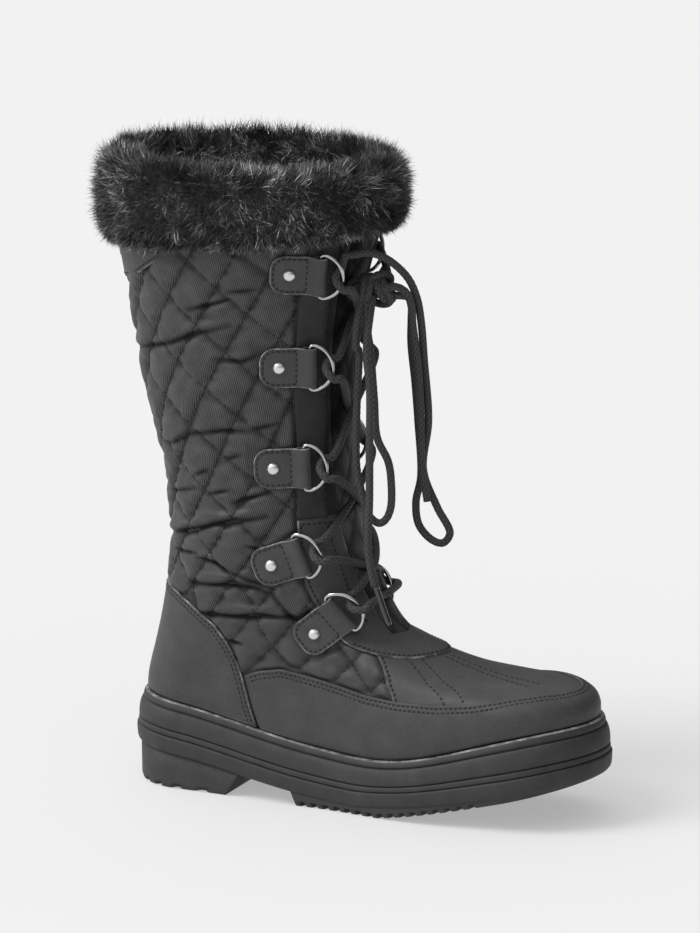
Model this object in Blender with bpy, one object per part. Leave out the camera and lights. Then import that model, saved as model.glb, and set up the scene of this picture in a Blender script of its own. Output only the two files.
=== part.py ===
"""Right winter boot: quilted upper, ribbed sole, fur cuff, D-ring lacing.

Tables are in millimetres: x runs from the heel centre to the toe, y to the
inner (medial) side, z up from the floor. Meshes are written in metres.
"""
import math

import bmesh
import bpy
import numpy as np

MM = 0.001

# Height of the sole's top edge, of the wall's lower lip and of the tread along x.
SOLE_BACK, SOLE_MID, SOLE_FRONT = -34.0, 118.0, 244.0
TOP_BACK, TOP_MID, TOP_FRONT = 51.4, 31.8, 57.8
LIP_BACK, LIP_MID, LIP_FRONT = 22.0, 4.5, 28.0
LIP_LOW_X = 112.0
TREAD_RISE_X, TREAD_RISE_POWER = 126.0, 1.15

# Rings from the feather line to the collar, one row each.
RING_COLUMNS = ("x_back", "x_front", "z_back", "z_mid", "z_front", "follow", "heel_len", "toe_len",
                "heel", "waist", "ball", "toe", "shift", "waist_in")
RINGS = (
    (-26.0, 235.5, 0.5, 0.5, 0.5, 1, 28, 38, 27.0, 30.5, 39.6, 34.5, 6.0, 4.5),
    (-25.0, 235.5, 60, 41, 64.0, 0, 29, 40, 28.3, 31.5, 41.0, 35.0, 6.0, 4.0),
    (-23.3, 232.5, 68, 50, 69.3, 0, 31, 42, 29.3, 32.0, 41.0, 34.5, 6.0, 3.5),
    (-20.9, 224.0, 77, 59, 73.2, 0, 32, 46, 30.0, 32.5, 39.5, 32.0, 5.6, 3.0),
    (-19.0, 208.0, 85, 67, 75.0, 0, 33, 52, 30.3, 32.8, 37.0, 29.5, 5.0, 2.4),
    (-17.0, 186.0, 94, 76, 77.2, 0, 34, 58, 30.6, 33.3, 34.5, 27.0, 4.0, 1.6),
    (-15.4, 164.0, 103, 85, 82.6, 0, 36, 62, 31.0, 34.2, 32.5, 25.0, 2.6, 0.8),
    (-14.0, 144.0, 112, 95, 89.6, 0, 40, 62, 32.0, 35.6, 31.5, 23.5, 1.2, 0.3),
    (-12.8, 127.5, 122, 107, 97.0, 0, 45, 60, 34.0, 37.6, 33.5, 24.0, 0.4, 0.0),
    (-12.0, 111.5, 134, 126, 121.0, 0, 52, 60, 37.5, 40.4, 38.5, 32.0, 0.0, 0.0),
    (-11.8, 100.5, 150, 149, 148.0, 0, 56, 57, 41.0, 42.5, 42.0, 40.0, 0.0, 0.0),
    (-14.3, 95.0, 180, 181, 182.0, 0, 54, 54, 44.0, 44.0, 44.0, 44.0, 0.0, 0.0),
    (-26.6, 93.5, 230, 230, 230.0, 0, 60, 60, 48.0, 48.0, 48.0, 48.0, 0.0, 0.0),
    (-35.8, 98.0, 280, 280, 280.0, 0, 67, 67, 51.0, 51.0, 51.0, 51.0, 0.0, 0.0),
    (-41.5, 109.0, 308, 316, 322.0, 0, 75, 75, 53.5, 53.5, 53.5, 53.5, 0.0, 0.0),
)
SOLE_RING = (-34.0, 244.0, 0, 0, 0, 1, 35, 47, 34.5, 38.0, 47.5, 43.0, 6.0, 5.0)
HEEL_AT, WAIST_AT, BALL_AT = 0.12, 0.42, 0.70
MID_AT = 0.547
SHIFT_FROM = 0.45

SIDE_STEPS = (0, .05, .1, .15, .2, .26, .32, .38, .44, .5, .56, .62, .68, .73, .78, .83, .875, .92, .96, 1)
UPPER_ROWS = (0, .8, 1.6, 2.2, 2.8, 3.4, 4.2, 5, 5.8, 6.6, 7.4, 8, 8.7, 9.4, 10.2, 11.2, 12.2, 13.2, 14)
WALL = 2.6
THROAT_ROW = 8
THROAT_STEP = .875

# Side wall of the sole: share of the wall's height, inset from the lip.
WALL_PROFILE = (
    (0.00, 3.0), (0.10, 0.3), (0.30, 0.0), (0.345, 2.0), (0.38, 0.9), (0.435, 1.1), (0.47, 2.6),
    (0.51, 1.2), (0.68, 1.6), (0.81, 2.9), (0.85, 4.6), (0.885, 3.7), (0.97, 4.7), (1.00, 5.7),
)
SOLE_STEPS = 46
RIM_INSET = 12.0
RECESS = 8.0
INSOLE_GAP, INSOLE_THICK = 0.4, 4.0
HEEL_BREAST_TOP, HEEL_BREAST_LOW = 41.0, 31.0
HEEL_INSET, HEEL_BEVEL, HEEL_NOTCHES = 2.6, 1.2, 6
FORE_BREAST, FORE_INSET, FORE_FIRST, FORE_PITCH, FORE_NOTCHES = 76.0, 1.8, 80.5, 6.9, 16
NOTCH_DEEP, NOTCH_HIGH, NOTCH_HALF, NOTCH_SHARE = 3.2, 2.8, 1.7, 0.22

PANEL_GAP, PANEL_THICK = 0.68, 1.3
COUNTER_SKIPS = (.8, 2.2, 3.4)
# Upper edge of the mudguard and the edge of the counter, seen from the side.
MUDGUARD_EDGE = ((40, 69), (52, 74), (66, 77), (82, 75), (99, 72), (118, 68), (137, 66.3), (160, 66.5),
                 (182, 69), (202, 71.8), (214, 72.7), (224, 72.6), (236, 72.6))
COUNTER_EDGE = ((39, 50.5), (53, 46), (67, 42.6), (77.6, 39.3), (87.7, 33.6), (96.7, 27), (102.6, 18),
                (108, 9), (112, 0), (114.5, -10), (116.5, -40))
PATCH_ROWS = (6.55, 6.9, 7.4, 7.9)
BACK_PATCH_EDGE = ((-45, 284), (-30, 287.5), (-15, 294.5), (-6, 301), (0, 304.6))

TONGUE_STEPS = (.78, .83, .875, .92, .96, 1)
TONGUE_ROWS = (7.0, 7.4, 8, 8.7, 9.4, 10.2, 11.2, 12.2, 13.2, 13.9)
TONGUE_GAP, TONGUE_THICK = 0.45, 3.4

# Section of the fur cuff: distance out from the shaft, height over the collar.
CUFF_SECTION = ((1.3, -1.0), (6.0, -2.5), (11.5, 3.5), (13.5, 14.0), (14.0, 27.0), (10.5, 39.0),
                (0.0, 44.0), (-9.0, 39.0), (-13.0, 27.0), (-12.0, 10.0), (-5.0, 0.9), (1.3, 0.9))
CUFF_LEVEL, CUFF_HIGH = 316.0, 44.0
CUFF_STEPS = 24
LOCK_OUT, LOCK_DROP = 6.0, 2.5
LOCK_COMB = (0.0, 0.0, 0.6, 1.0, 0.6, -0.6)

# Ring tabs: rivet x and z on the lateral side, turn, lift over the panels.
TAB_COLUMNS = ("x", "z", "turn", "lift")
TABS = ((75, 302, -3, .7), (68, 249, 0, .7), (64.5, 192, 2, .7), (63, 137, 20, .7), (86, 99, 40, 2.4))
TAB_BACK, TAB_FOLD, TAB_HALF, TAB_THICK = -10.5, 16.5, 11.2, 1.4
EYE_RADIUS, RING_TUBE = 1.75, 1.3
RING_BAR, RING_HALF, RING_REACH = 12.1, 13.0, 12.0
# The inner side's tabs sit further back and their rings lie flatter.
MEDIAL_BACK, RING_TILT = 7.0, (22.0, 16.0)
RIVET_RADIUS, RIVET_HIGH, RIVET_GAP, RIVET_SIDES = 3.1, 1.5, 0.6, 6

LACE, AGLET, LACE_SIDES = 3.9, 4.4, 4
LACE_LOW, LACE_HIGH = -5.5, 4.5
CROSS_FRONT, CROSS_BACK = 7.4, 2.9
BAR_AT = (121.0, 119.0)
KNOT_AT, KNOT_SIZE = (118.0, -6.0, 290.0), (8.0, 11.0, 9.0)
KNOT_SHARES = (-0.8, -0.35, 0.35, 0.8)
LOOP_FROM, LOOP_GAP = (101.0, -28.2, 308.6), 0.6
# Loops and ends of the bow, one row for each bend.
BOW = {
    "lace_loop_a": ((115, -10.5, 282.4), (115, -10.5, 279.4), (114, -13.5, 272), (112.2, -17, 258.6),
                    (115.1, -18, 230.8), (116.9, -18, 209.4), (123.5, -18, 196.5), (125.3, -18, 184.8),
                    (123.9, -19, 170.7), (119, -20, 162),
                    (115.1, -22, 164.9), (111.7, -24, 175.2), (107.5, -24, 191.7), (106.5, -23, 208.4),
                    (106.6, -22, 230.8), (106.8, -21, 258.9), (109.2, -10.5, 272), (115, -4, 279.4),
                    (115, -4, 282.4)),
    "lace_loop_b": ((105.5, -25, 312.2), (112, -20, 313), (118, -15, 310.5), (123.5, -9, 305),
                    (128.5, -2, 296), (131.5, 4, 284), (132.6, 8, 270),
                    (134.6, 11, 248.5), (136.6, 12, 214.8), (134.2, 12, 186.2), (139.2, 13, 165.6),
                    (146.5, 14, 151.4), (141.9, 15, 145),
                    (134.8, 16, 145.8), (126.6, 17, 153.2), (124.3, 18, 165.2), (127.3, 18, 180.8),
                    (125.5, 18, 212.3), (124.2, 17, 233.3), (122.6, 15, 256.2), (124, 12, 270),
                    (127, 5, 281), (129, -2, 287), (129, -5, 290), (125.7, -5, 290)),
    "lace_end_a": ((121, -10.5, 282.4), (121, -10.5, 279.4), (119.5, -17, 273), (116, -25, 263),
                   (114.9, -29, 240), (117.6, -30, 205.2), (118, -31, 177.2), (117.2, -31, 151),
                   (118.8, -30, 136.8), (120.5, -29, 129)),
    "lace_end_b": ((121, -3.5, 282.4), (121, -3.5, 279.4), (123.5, -1, 274), (127.5, 2.5, 266.3),
                   (130.4, 5, 243.6), (131.6, 6, 215.4), (131.2, 6, 192.8), (132.4, 6, 169.7)),
    "aglet_a": ((120.8, -28.8, 128.6), (124.6, -28, 117.1), (128.4, -27, 106.5)),
}


def smooth(q):
    q = np.clip(q, 0.0, 1.0)
    return q * q * (3.0 - 2.0 * q)


def sole_top(x):
    back = TOP_MID + (TOP_BACK - TOP_MID) * smooth((SOLE_MID - x) / (SOLE_MID - SOLE_BACK))
    front = TOP_MID + (TOP_FRONT - TOP_MID) * smooth((x - SOLE_MID) / (SOLE_FRONT - SOLE_MID))
    return np.where(x < SOLE_MID, back, front)


def sole_lip(x):
    back = LIP_MID + (LIP_BACK - LIP_MID) * smooth((LIP_LOW_X - x) / (LIP_LOW_X - SOLE_BACK))
    ahead = np.clip((x - LIP_LOW_X) / (SOLE_FRONT - LIP_LOW_X), 0.0, 1.0)
    return np.where(x < LIP_LOW_X, back, LIP_MID + (LIP_FRONT - LIP_MID) * ahead ** 1.25)


def tread(x):
    ahead = np.clip((x - TREAD_RISE_X) / (SOLE_FRONT - TREAD_RISE_X), 0.0, 1.0)
    return LIP_FRONT * ahead ** TREAD_RISE_POWER


def ring_row(v):
    """Columns of the ring table at row position v (Catmull-Rom between rows)."""
    table = np.array(RINGS, float)
    v = np.clip(np.asarray(v, float), 0.0, len(table) - 1.0)
    k = np.minimum(v.astype(int), len(table) - 2)
    f = (v - k)[..., None]
    a, b = table[np.maximum(k - 1, 0)], table[k]
    c, d = table[k + 1], table[np.minimum(k + 2, len(table) - 1)]
    mixed = b + 0.5 * f * (c - a + f * (2 * a - 5 * b + 4 * c - d + f * (3 * (b - c) + d - a)))
    return {name: mixed[..., i] for i, name in enumerate(RING_COLUMNS)}


def ring_plan(t, row):
    """Plan point of a ring: t 0 at the heel, a quarter lateral, a half at the toe."""
    t = np.asarray(t, float) % 1.0
    side = np.where(t < 0.5, -1.0, 1.0)
    share = 0.5 - 0.5 * np.cos(np.pi * (1.0 - np.abs(1.0 - 2.0 * t)))
    length = row["x_front"] - row["x_back"]
    x = row["x_back"] + length * share
    waist = row["waist"] - np.where(side > 0, row["waist_in"], 0.0)
    half = np.where(share < WAIST_AT,
                    row["heel"] + (waist - row["heel"]) * smooth((share - HEEL_AT) / (WAIST_AT - HEEL_AT)),
                    waist + (row["ball"] - waist) * smooth((share - WAIST_AT) / (BALL_AT - WAIST_AT)))
    ahead = np.clip((share - BALL_AT) / (1.0 - BALL_AT), 0.0, 1.0)
    half = np.where(share > BALL_AT, row["ball"] + (row["toe"] - row["ball"]) * ahead ** 1.6, half)
    back = np.clip(1.0 - share * length / row["heel_len"], 0.0, 1.0)
    front = np.clip(1.0 - (1.0 - share) * length / row["toe_len"], 0.0, 1.0)
    half = half * np.sqrt(1.0 - back ** 2) * np.sqrt(1.0 - front ** 2)
    y = side * half + row["shift"] * smooth((share - SHIFT_FROM) / (1.0 - SHIFT_FROM))
    return x, y, share


def boot(t, v):
    """Outer surface of the upper."""
    t, v = np.broadcast_arrays(np.asarray(t, float), np.asarray(v, float))
    row = ring_row(v)
    x, y, share = ring_plan(t, row)
    back = row["z_mid"] + (row["z_back"] - row["z_mid"]) * smooth((MID_AT - share) / MID_AT)
    front = row["z_mid"] + (row["z_front"] - row["z_mid"]) * smooth((share - MID_AT) / (1.0 - MID_AT))
    z = row["follow"] * sole_top(x) + np.where(share < MID_AT, back, front)
    return np.stack([x, y, z], -1)


def boot_normal(t, v):
    step = 1e-3
    low, high = np.clip(v - step, 0, None), np.clip(v + step, None, len(RINGS) - 1.0)
    along = boot(t + step, v) - boot(t - step, v)
    up = boot(t, high) - boot(t, low)
    normal = np.cross(along, up)
    normal[..., 2] *= np.clip(np.asarray(v) * 1.5, 0.0, 1.0)
    return normal / np.linalg.norm(normal, axis=-1, keepdims=True)


def skin(t, v, out):
    t, v = np.broadcast_arrays(np.asarray(t, float), np.asarray(v, float))
    return boot(t, v) + np.asarray(out)[..., None] * boot_normal(t, v)


def loop_steps():
    lateral = [u / 2 for u in SIDE_STEPS]
    return np.array(lateral + [1.0 - t for t in lateral[-2:0:-1]])


def find_row(t, test, low=0.0, high=14.0):
    """Row position where test(point) turns positive, going up at t."""
    for _ in range(40):
        middle = 0.5 * (low + high)
        low, high = (low, middle) if test(boot(t, middle)) > 0 else (middle, high)
    return 0.5 * (low + high)


def find_step(v, test, low, high):
    for _ in range(40):
        middle = 0.5 * (low + high)
        low, high = (low, middle) if test(boot(middle, v)) > 0 else (middle, high)
    return 0.5 * (low + high)


def curve_at(x, table):
    table = np.array(table, float)
    return float(np.interp(x, table[:, 0], table[:, 1]))


def material(name, colour, rough, metal=0.0):
    made = bpy.data.materials.new(name)
    made.use_nodes = True
    shader = made.node_tree.nodes["Principled BSDF"]
    shader.inputs["Base Color"].default_value = (*colour, 1.0)
    shader.inputs["Roughness"].default_value = rough
    shader.inputs["Metallic"].default_value = metal
    return made


LOOKS = {
    "rubber": ((0.030, 0.030, 0.031), 0.6, 0.0),
    "leather": ((0.050, 0.050, 0.051), 0.55, 0.0),
    "nylon": ((0.045, 0.045, 0.047), 0.5, 0.0),
    "felt": ((0.030, 0.030, 0.030), 0.9, 0.0),
    "fur": ((0.018, 0.018, 0.018), 0.9, 0.0),
    "lace": ((0.012, 0.012, 0.012), 0.8, 0.0),
    "steel": ((0.75, 0.75, 0.75), 0.2, 1.0),
}


def add(name, points, faces, look):
    """One closed mesh object from points in millimetres."""
    mesh = bpy.data.meshes.new(name)
    mesh.from_pydata([tuple(float(c) * MM for c in p) for p in points], [], [list(f) for f in faces])
    work = bmesh.new()
    work.from_mesh(mesh)
    bmesh.ops.recalc_face_normals(work, faces=work.faces)
    work.to_mesh(mesh)
    work.free()
    mesh.materials.append(material(name, *LOOKS[look]))
    made = bpy.data.objects.new(name, mesh)
    bpy.context.scene.collection.objects.link(made)
    return made


def shell(name, t, v, low, high, look, keep=None, wrap=False):
    """Sheet between two distances from the upper's surface, over a grid of t and v."""
    inner, outer = skin(t, v, low), skin(t, v, high)
    return sheet(name, inner, outer, look, keep, wrap)


def sheet(name, inner, outer, look, keep=None, wrap=False):
    rows, cols = inner.shape[:2]
    number, ids, first, second = {}, np.zeros((rows, cols), int), [], []
    for j in range(rows):
        for i in range(cols):
            key = tuple(np.round(inner[j, i], 2))
            if key not in number:
                number[key] = len(first)
                first.append(inner[j, i])
                second.append(outer[j, i])
            ids[j, i] = number[key]
    count, faces, edges = len(first), [], {}
    for j in range(rows - 1):
        for i in range(cols if wrap else cols - 1):
            if keep is not None and not keep(j, i):
                continue
            n = (i + 1) % cols
            corner = [ids[j, i], ids[j, n], ids[j + 1, n], ids[j + 1, i]]
            corner = [c for k, c in enumerate(corner) if c != corner[k - 1]]
            if len(set(corner)) < 3:
                continue
            faces.append(corner)
            for k, c in enumerate(corner):
                pair = (corner[k - 1], c)
                edges[pair] = edges.get(pair, 0) + 1
    solid = [list(reversed(f)) for f in faces] + [[c + count for c in f] for f in faces]
    for a, b in edges:
        if (b, a) not in edges:
            solid.append([a, b, b + count, a + count])
    used = sorted({c for f in solid for c in f})
    renumber = {c: k for k, c in enumerate(used)}
    points = first + second
    return add(name, [points[c] for c in used], [[renumber[c] for c in f] for f in solid], look)


def ladder(ring):
    """Cap faces across a loop whose two sides mirror each other."""
    n = len(ring)
    faces = [[ring[0], ring[1], ring[n - 1]]]
    for i in range(1, n // 2):
        rung = [ring[i], ring[i + 1], ring[n - i - 1], ring[n - i]]
        faces.append(rung if i + 1 < n - i - 1 else rung[:2] + rung[3:])
    return faces


def loft(name, rings, look):
    """Closed solid through loops of equal count with ladder caps."""
    count = len(rings[0])
    points = [p for ring in rings for p in ring]
    faces = []
    for k in range(len(rings) - 1):
        for i in range(count):
            n = (i + 1) % count
            faces.append([k * count + i, k * count + n, (k + 1) * count + n, (k + 1) * count + i])
    last = (len(rings) - 1) * count
    faces += [list(reversed(f)) for f in ladder(list(range(count)))]
    faces += ladder(list(range(last, last + count)))
    return add(name, points, faces, look)


def sole_line(t, inset):
    """Plan of the sole's outline moved in by inset."""
    row = {name: np.array(float(value)) for name, value in zip(RING_COLUMNS, SOLE_RING)}
    step = 1e-4
    x, y, _ = ring_plan(t, row)
    xa, ya, _ = ring_plan(t + step, row)
    xb, yb, _ = ring_plan(t - step, row)
    length = np.hypot(xa - xb, ya - yb)
    return x - (ya - yb) / length * inset, y + (xa - xb) / length * inset


def united(main, others):
    """Join helper solids to main and remove the helpers."""
    for other in others:
        cut = main.modifiers.new(other.name, "BOOLEAN")
        cut.operation, cut.solver, cut.object = "UNION", "MANIFOLD", other
    bpy.context.view_layer.update()
    graph = bpy.context.evaluated_depsgraph_get()
    joined = bpy.data.meshes.new_from_object(main.evaluated_get(graph))
    main.modifiers.clear()
    main.data = joined
    for other in others:
        bpy.data.objects.remove(other)


def reach_to(middle, limit, inset):
    """Steps from middle to where the sole's outline meets x = limit."""
    low, high = 0.0, 0.5
    behind = sole_line(middle, inset)[0] < limit
    for _ in range(40):
        half = 0.5 * (low + high)
        short = (sole_line((middle + half) % 1.0, inset)[0] < limit) == behind
        low, high = (half, high) if short else (low, half)
    return high


def tread_block(name, middle, cuts, levels):
    """Block under the lip, alike on both sides of the step middle, with V cuts round its lower edge."""
    shares = [(0.0, 0)]
    for centre, half in cuts:
        shares += [(centre - half, 0), (centre, 1), (centre + half, 0)]
    shares.append((1.0, 0))
    rings = []
    for limit, inset, deep, height in levels:
        reach = reach_to(middle, limit, inset)
        points = []
        for share, cut in shares + [(-s, c) for s, c in shares[:0:-1]]:
            x, y = sole_line((middle + share * reach) % 1.0, inset + deep * cut)
            points.append((float(x), float(y), height(float(x))))
        rings.append(points)
    return loft(name, rings, "rubber")


def over_lip(x):
    return float(sole_lip(np.array(x))) + 1.5


def heel_block():
    """Heel under the lip."""
    total = HEEL_NOTCHES + 0.4
    cuts = [((k + 0.55) / total, NOTCH_SHARE / total) for k in range(HEEL_NOTCHES)]
    drop = HEEL_BREAST_TOP - HEEL_BREAST_LOW
    levels = ((HEEL_BREAST_LOW, HEEL_INSET + HEEL_BEVEL, NOTCH_DEEP, lambda x: 0.0),
              (HEEL_BREAST_LOW + drop * 0.12, HEEL_INSET + 0.4, NOTCH_DEEP * 0.9, lambda x: NOTCH_HIGH * 0.8),
              (HEEL_BREAST_LOW + drop * 0.16, HEEL_INSET + 0.3, 0.0, lambda x: NOTCH_HIGH),
              (HEEL_BREAST_TOP, HEEL_INSET - 0.3, 0.0, over_lip))
    return tread_block("heel_block", 0.0, cuts, levels)


def fore_block():
    """Tread of the forefoot and toe."""
    length = SOLE_FRONT - SOLE_BACK

    def step(x):
        return math.acos(1.0 - 2.0 * (x - SOLE_BACK) / length) / (2 * math.pi)

    first, cuts = step(FORE_BREAST), []
    for k in range(FORE_NOTCHES):
        t = step(FORE_FIRST + FORE_PITCH * (FORE_NOTCHES - 1 - k))
        half = NOTCH_HALF / (length * math.pi * math.sin(2 * math.pi * t))
        cuts.append(((0.5 - t) / (0.5 - first), half / (0.5 - first)))

    def low(x):
        return float(tread(np.array(x)))

    def high(x):
        return min(NOTCH_HIGH, 0.6 * (over_lip(x) - low(x)))

    levels = ((FORE_BREAST, FORE_INSET + 0.9, NOTCH_DEEP, low),
              (FORE_BREAST - 1.0, FORE_INSET + 0.2, NOTCH_DEEP * 0.9, lambda x: low(x) + 0.8 * high(x)),
              (FORE_BREAST - 1.2, FORE_INSET, 0.0, lambda x: low(x) + high(x)),
              (FORE_BREAST - 4.0, FORE_INSET, 0.0, over_lip))
    return tread_block("fore_block", 0.5, cuts, levels)


def outsole():
    steps = np.linspace(0.0, 1.0, SOLE_STEPS, endpoint=False)
    rings = []
    for share, inset in WALL_PROFILE:
        x, y = sole_line(steps, inset)
        low, high = sole_lip(x), sole_top(x)
        rings.append(list(zip(x, y, low + (high - low) * share)))
    x, y = sole_line(steps, RIM_INSET)
    rings.append(list(zip(x, y, sole_top(x))))
    rings.append(list(zip(x, y, sole_top(x) - RECESS)))
    united(loft("outsole", rings, "rubber"), [heel_block(), fore_block()])


def insole():
    steps = np.linspace(0.0, 1.0, SOLE_STEPS, endpoint=False)
    x, y = sole_line(steps, RIM_INSET + INSOLE_GAP)
    base = sole_top(x) - RECESS + INSOLE_GAP
    loft("insole", [list(zip(x, y, base)), list(zip(x, y, base + INSOLE_THICK))], "felt")


def upper():
    steps, rows = loop_steps(), np.array(UPPER_ROWS, float)
    t, v = np.meshgrid(steps, rows)
    open_from, open_to = THROAT_STEP / 2, 1.0 - THROAT_STEP / 2

    def keep(j, i):
        return rows[j] < THROAT_ROW or not open_from - 1e-6 < steps[i] < open_to - 1e-6

    shell("upper", t, v, -WALL, 0.0, "nylon", keep, wrap=True)


def tongue():
    lateral = [u / 2 for u in TONGUE_STEPS]
    steps = lateral + [1.0 - t for t in lateral[-2::-1]]
    t, v = np.meshgrid(steps, TONGUE_ROWS)
    outer = -WALL - TONGUE_GAP
    shell("tongue", t, v, outer - TONGUE_THICK, outer, "nylon")


def counter_end(v):
    """Step t of the counter's edge at row v on the lateral side."""
    return find_step(v, lambda p: p[0] - curve_at(p[2], COUNTER_EDGE), 0.0, 0.45)


def counter():
    rows = [r for r in UPPER_ROWS if r < 8.0 and r not in COUNTER_SKIPS]
    end = counter_end(0.0)
    lateral = [u / 2 for u in SIDE_STEPS if u / 2 < end - 0.006] + [end - 0.018, end]
    lateral = sorted(set(lateral))
    steps = [-t for t in lateral[:0:-1]] + lateral
    t, v = np.meshgrid(steps, rows)
    for i, step in enumerate(steps):
        limit = find_row(abs(step), lambda p: p[0] - curve_at(p[2], COUNTER_EDGE), 0.0, 9.0)
        v[:, i] = np.minimum(v[:, i], limit)
    shell("counter", t, v, PANEL_GAP, PANEL_GAP + PANEL_THICK, "leather")


def mudguard():
    loop = loop_steps()
    steps = [t for t in loop if 0.11 < t < 0.89]
    rows = [r for r in UPPER_ROWS if r < 6.0]
    t, v = np.meshgrid(steps, rows)
    margin = 0.004
    for j, row in enumerate(rows):
        end = counter_end(row) + margin
        t[j] = np.clip(t[j], end, 1.0 - end)
    for j in range(len(rows)):
        for i in range(len(steps)):
            limit = find_row(t[j, i], lambda p: p[2] - curve_at(p[0], MUDGUARD_EDGE), 0.0, 6.0)
            v[j, i] = min(v[j, i], limit)
    shell("mudguard", t, v, PANEL_GAP, PANEL_GAP + PANEL_THICK, "leather")


def throat_patch():
    lateral = [u / 2 for u in SIDE_STEPS if u > 0.72]
    steps = lateral + [1.0 - t for t in lateral[-2::-1]]
    t, v = np.meshgrid(steps, PATCH_ROWS)
    reach = np.abs(1.0 - 2.0 * t)
    v = np.where(v < 7.6, v + 0.25 * smooth(reach / 0.27), v)
    shell("throat_patch", t, v, PANEL_GAP, PANEL_GAP + PANEL_THICK, "leather")


def back_patch():
    steps = [t - 1.0 for t in loop_steps() if t > 0.87] + [t for t in loop_steps() if t < 0.13]
    roof = find_row(0.0, lambda p: p[2] - 305.4, 8.0)
    t, v = np.meshgrid(steps, (0.0, 1.0))
    for i, step in enumerate(steps):
        v[0, i] = find_row(step, lambda p: p[2] - curve_at(p[0], BACK_PATCH_EDGE), 8.0)
        v[0, i] = min(v[0, i], roof - 0.02)
        v[1, i] = roof
    shell("back_patch", t, v, PANEL_GAP, PANEL_GAP + PANEL_THICK, "leather")


def fur_cuff():
    """Ring of fur whose faces are drawn out into combed locks."""
    steps = np.linspace(0.0, 1.0, CUFF_STEPS, endpoint=False)
    top = len(RINGS) - 1.0
    rings = []
    for out, height in CUFF_SECTION:
        base, normal = boot(steps, top), boot_normal(steps, top)
        normal[:, 2] = 0.0
        normal /= np.linalg.norm(normal, axis=1, keepdims=True)
        ring = base + out * normal
        level = max(height, 0.0) / CUFF_HIGH
        ring[:, 2] = ring[:, 2] * (1.0 - level) + CUFF_LEVEL * level + height
        rings.append(ring)
    count, points, faces = CUFF_STEPS, [p for ring in rings for p in ring], []
    for k in range(len(rings)):
        for i in range(count):
            n, up = (i + 1) % count, (k + 1) % len(rings)
            quad = [k * count + i, k * count + n, up * count + n, up * count + i]
            hidden = k in (len(rings) - 1, len(rings) - 2, len(rings) - 3, 0)
            if hidden:
                faces.append(quad)
                continue
            a, b, c, d = (np.array(points[q]) for q in quad)
            normal = np.cross(c - a, d - b)
            normal /= np.linalg.norm(normal)
            reach = LOCK_OUT * (0.75 + 0.25 * math.sin(i * 2.4 + k * 1.7)) * (0.3 if k == 1 else 1.0)
            tip = (a + b + c + d) / 4 + normal * reach
            tip[2] -= LOCK_DROP * LOCK_COMB[min(k, len(LOCK_COMB) - 1)]
            points.append(tip)
            for m in range(4):
                faces.append([quad[m], quad[(m + 1) % 4], len(points) - 1])
    add("fur_cuff", points, faces, "fur")


class Tab:
    """Local map of one ring tab: length a toward the throat, width b, height h, in millimetres."""

    def __init__(self, row, mirror):
        values = dict(zip(TAB_COLUMNS, row))
        back = MEDIAL_BACK if mirror < 0 else 0.0
        low, high = 5.0, 14.0
        for _ in range(30):
            v = 0.5 * (low + high)
            t = find_step(v, lambda p: p[0] - values["x"] + back, 0.1, 0.5)
            low, high = (low, v) if boot(t, v)[2] > values["z"] else (v, high)
        self.spot, self.mirror, self.lift = np.array([t, v]), mirror, values["lift"]
        self.tilt = math.radians(RING_TILT[mirror < 0])
        self.origin, normal = boot(t, v), boot_normal(np.array(t), np.array(v))
        level = np.cross((0.0, 0.0, 1.0), normal)
        level /= np.linalg.norm(level)
        turn = math.radians(values["turn"])
        rise = np.cross(normal, level)
        self.ahead = math.cos(turn) * level + math.sin(turn) * rise
        self.across = np.cross(normal, self.ahead)

    def on_surface(self, a, b):
        """Row and step whose point lies a ahead and b across, as seen square on."""
        spot, step = self.spot.copy(), 1e-3
        for _ in range(8):
            here = boot(*spot)
            round_slope = (boot(spot[0] + step, spot[1]) - here) / step
            up_slope = (boot(spot[0], spot[1] + step) - here) / step
            slope = np.array([round_slope, up_slope])
            offset = here - self.origin
            error = np.array([a - offset @ self.ahead, b - offset @ self.across])
            spot = spot + np.linalg.solve(np.array([slope @ self.ahead, slope @ self.across]), error)
            spot[1] = min(spot[1], len(RINGS) - 1.01)
        return spot

    def point(self, a, b, h):
        """Follow the surface up to the fold, then straight on along its tangent."""
        held = min(a, TAB_FOLD - 3.0)
        spot = self.on_surface(held, b)
        normal = boot_normal(np.array(spot[0]), np.array(spot[1]))
        place = boot(*spot) + normal * h
        if a > held:
            onward = self.ahead - normal * float(self.ahead @ normal)
            place = place + onward / np.linalg.norm(onward) * (a - held)
        return np.array([place[0], place[1] * self.mirror, place[2]])


def ring_tab(name, tab):
    """Leather strip laid on the upper and folded back round the ring's bar."""
    eye = tab.lift + TAB_THICK + EYE_RADIUS
    middle = EYE_RADIUS + TAB_THICK / 2
    path = [(a, tab.lift + TAB_THICK / 2) for a in (None, -1.0, 7.0, TAB_FOLD - 1.5)]
    for angle in (-45, 0, 45, 100):
        bend = math.radians(angle)
        path.append((TAB_FOLD + middle * math.cos(bend), eye + middle * math.sin(bend)))
    path.append((TAB_FOLD - 4.6, eye + 0.2))
    inner, outer = [], []
    widths = ((-TAB_HALF, 5.5), (-TAB_HALF * 0.62, 0.6), (TAB_HALF * 0.62, 0.6), (TAB_HALF, 5.5))
    for b, cut in widths:
        line = [(TAB_BACK + cut if a is None else a, h) for a, h in path]
        low, high = [], []
        for k, (a, h) in enumerate(line):
            before, after = line[max(k - 1, 0)], line[min(k + 1, len(line) - 1)]
            along = np.array(after) - np.array(before)
            along = along / np.linalg.norm(along)
            shift = np.array([along[1], -along[0]]) * TAB_THICK / 2
            low.append(tab.point(a + shift[0], b, h + shift[1]))
            high.append(tab.point(a - shift[0], b, h - shift[1]))
        inner.append(low)
        outer.append(high)
    sheet(name, np.array(inner), np.array(outer), "leather")


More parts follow.
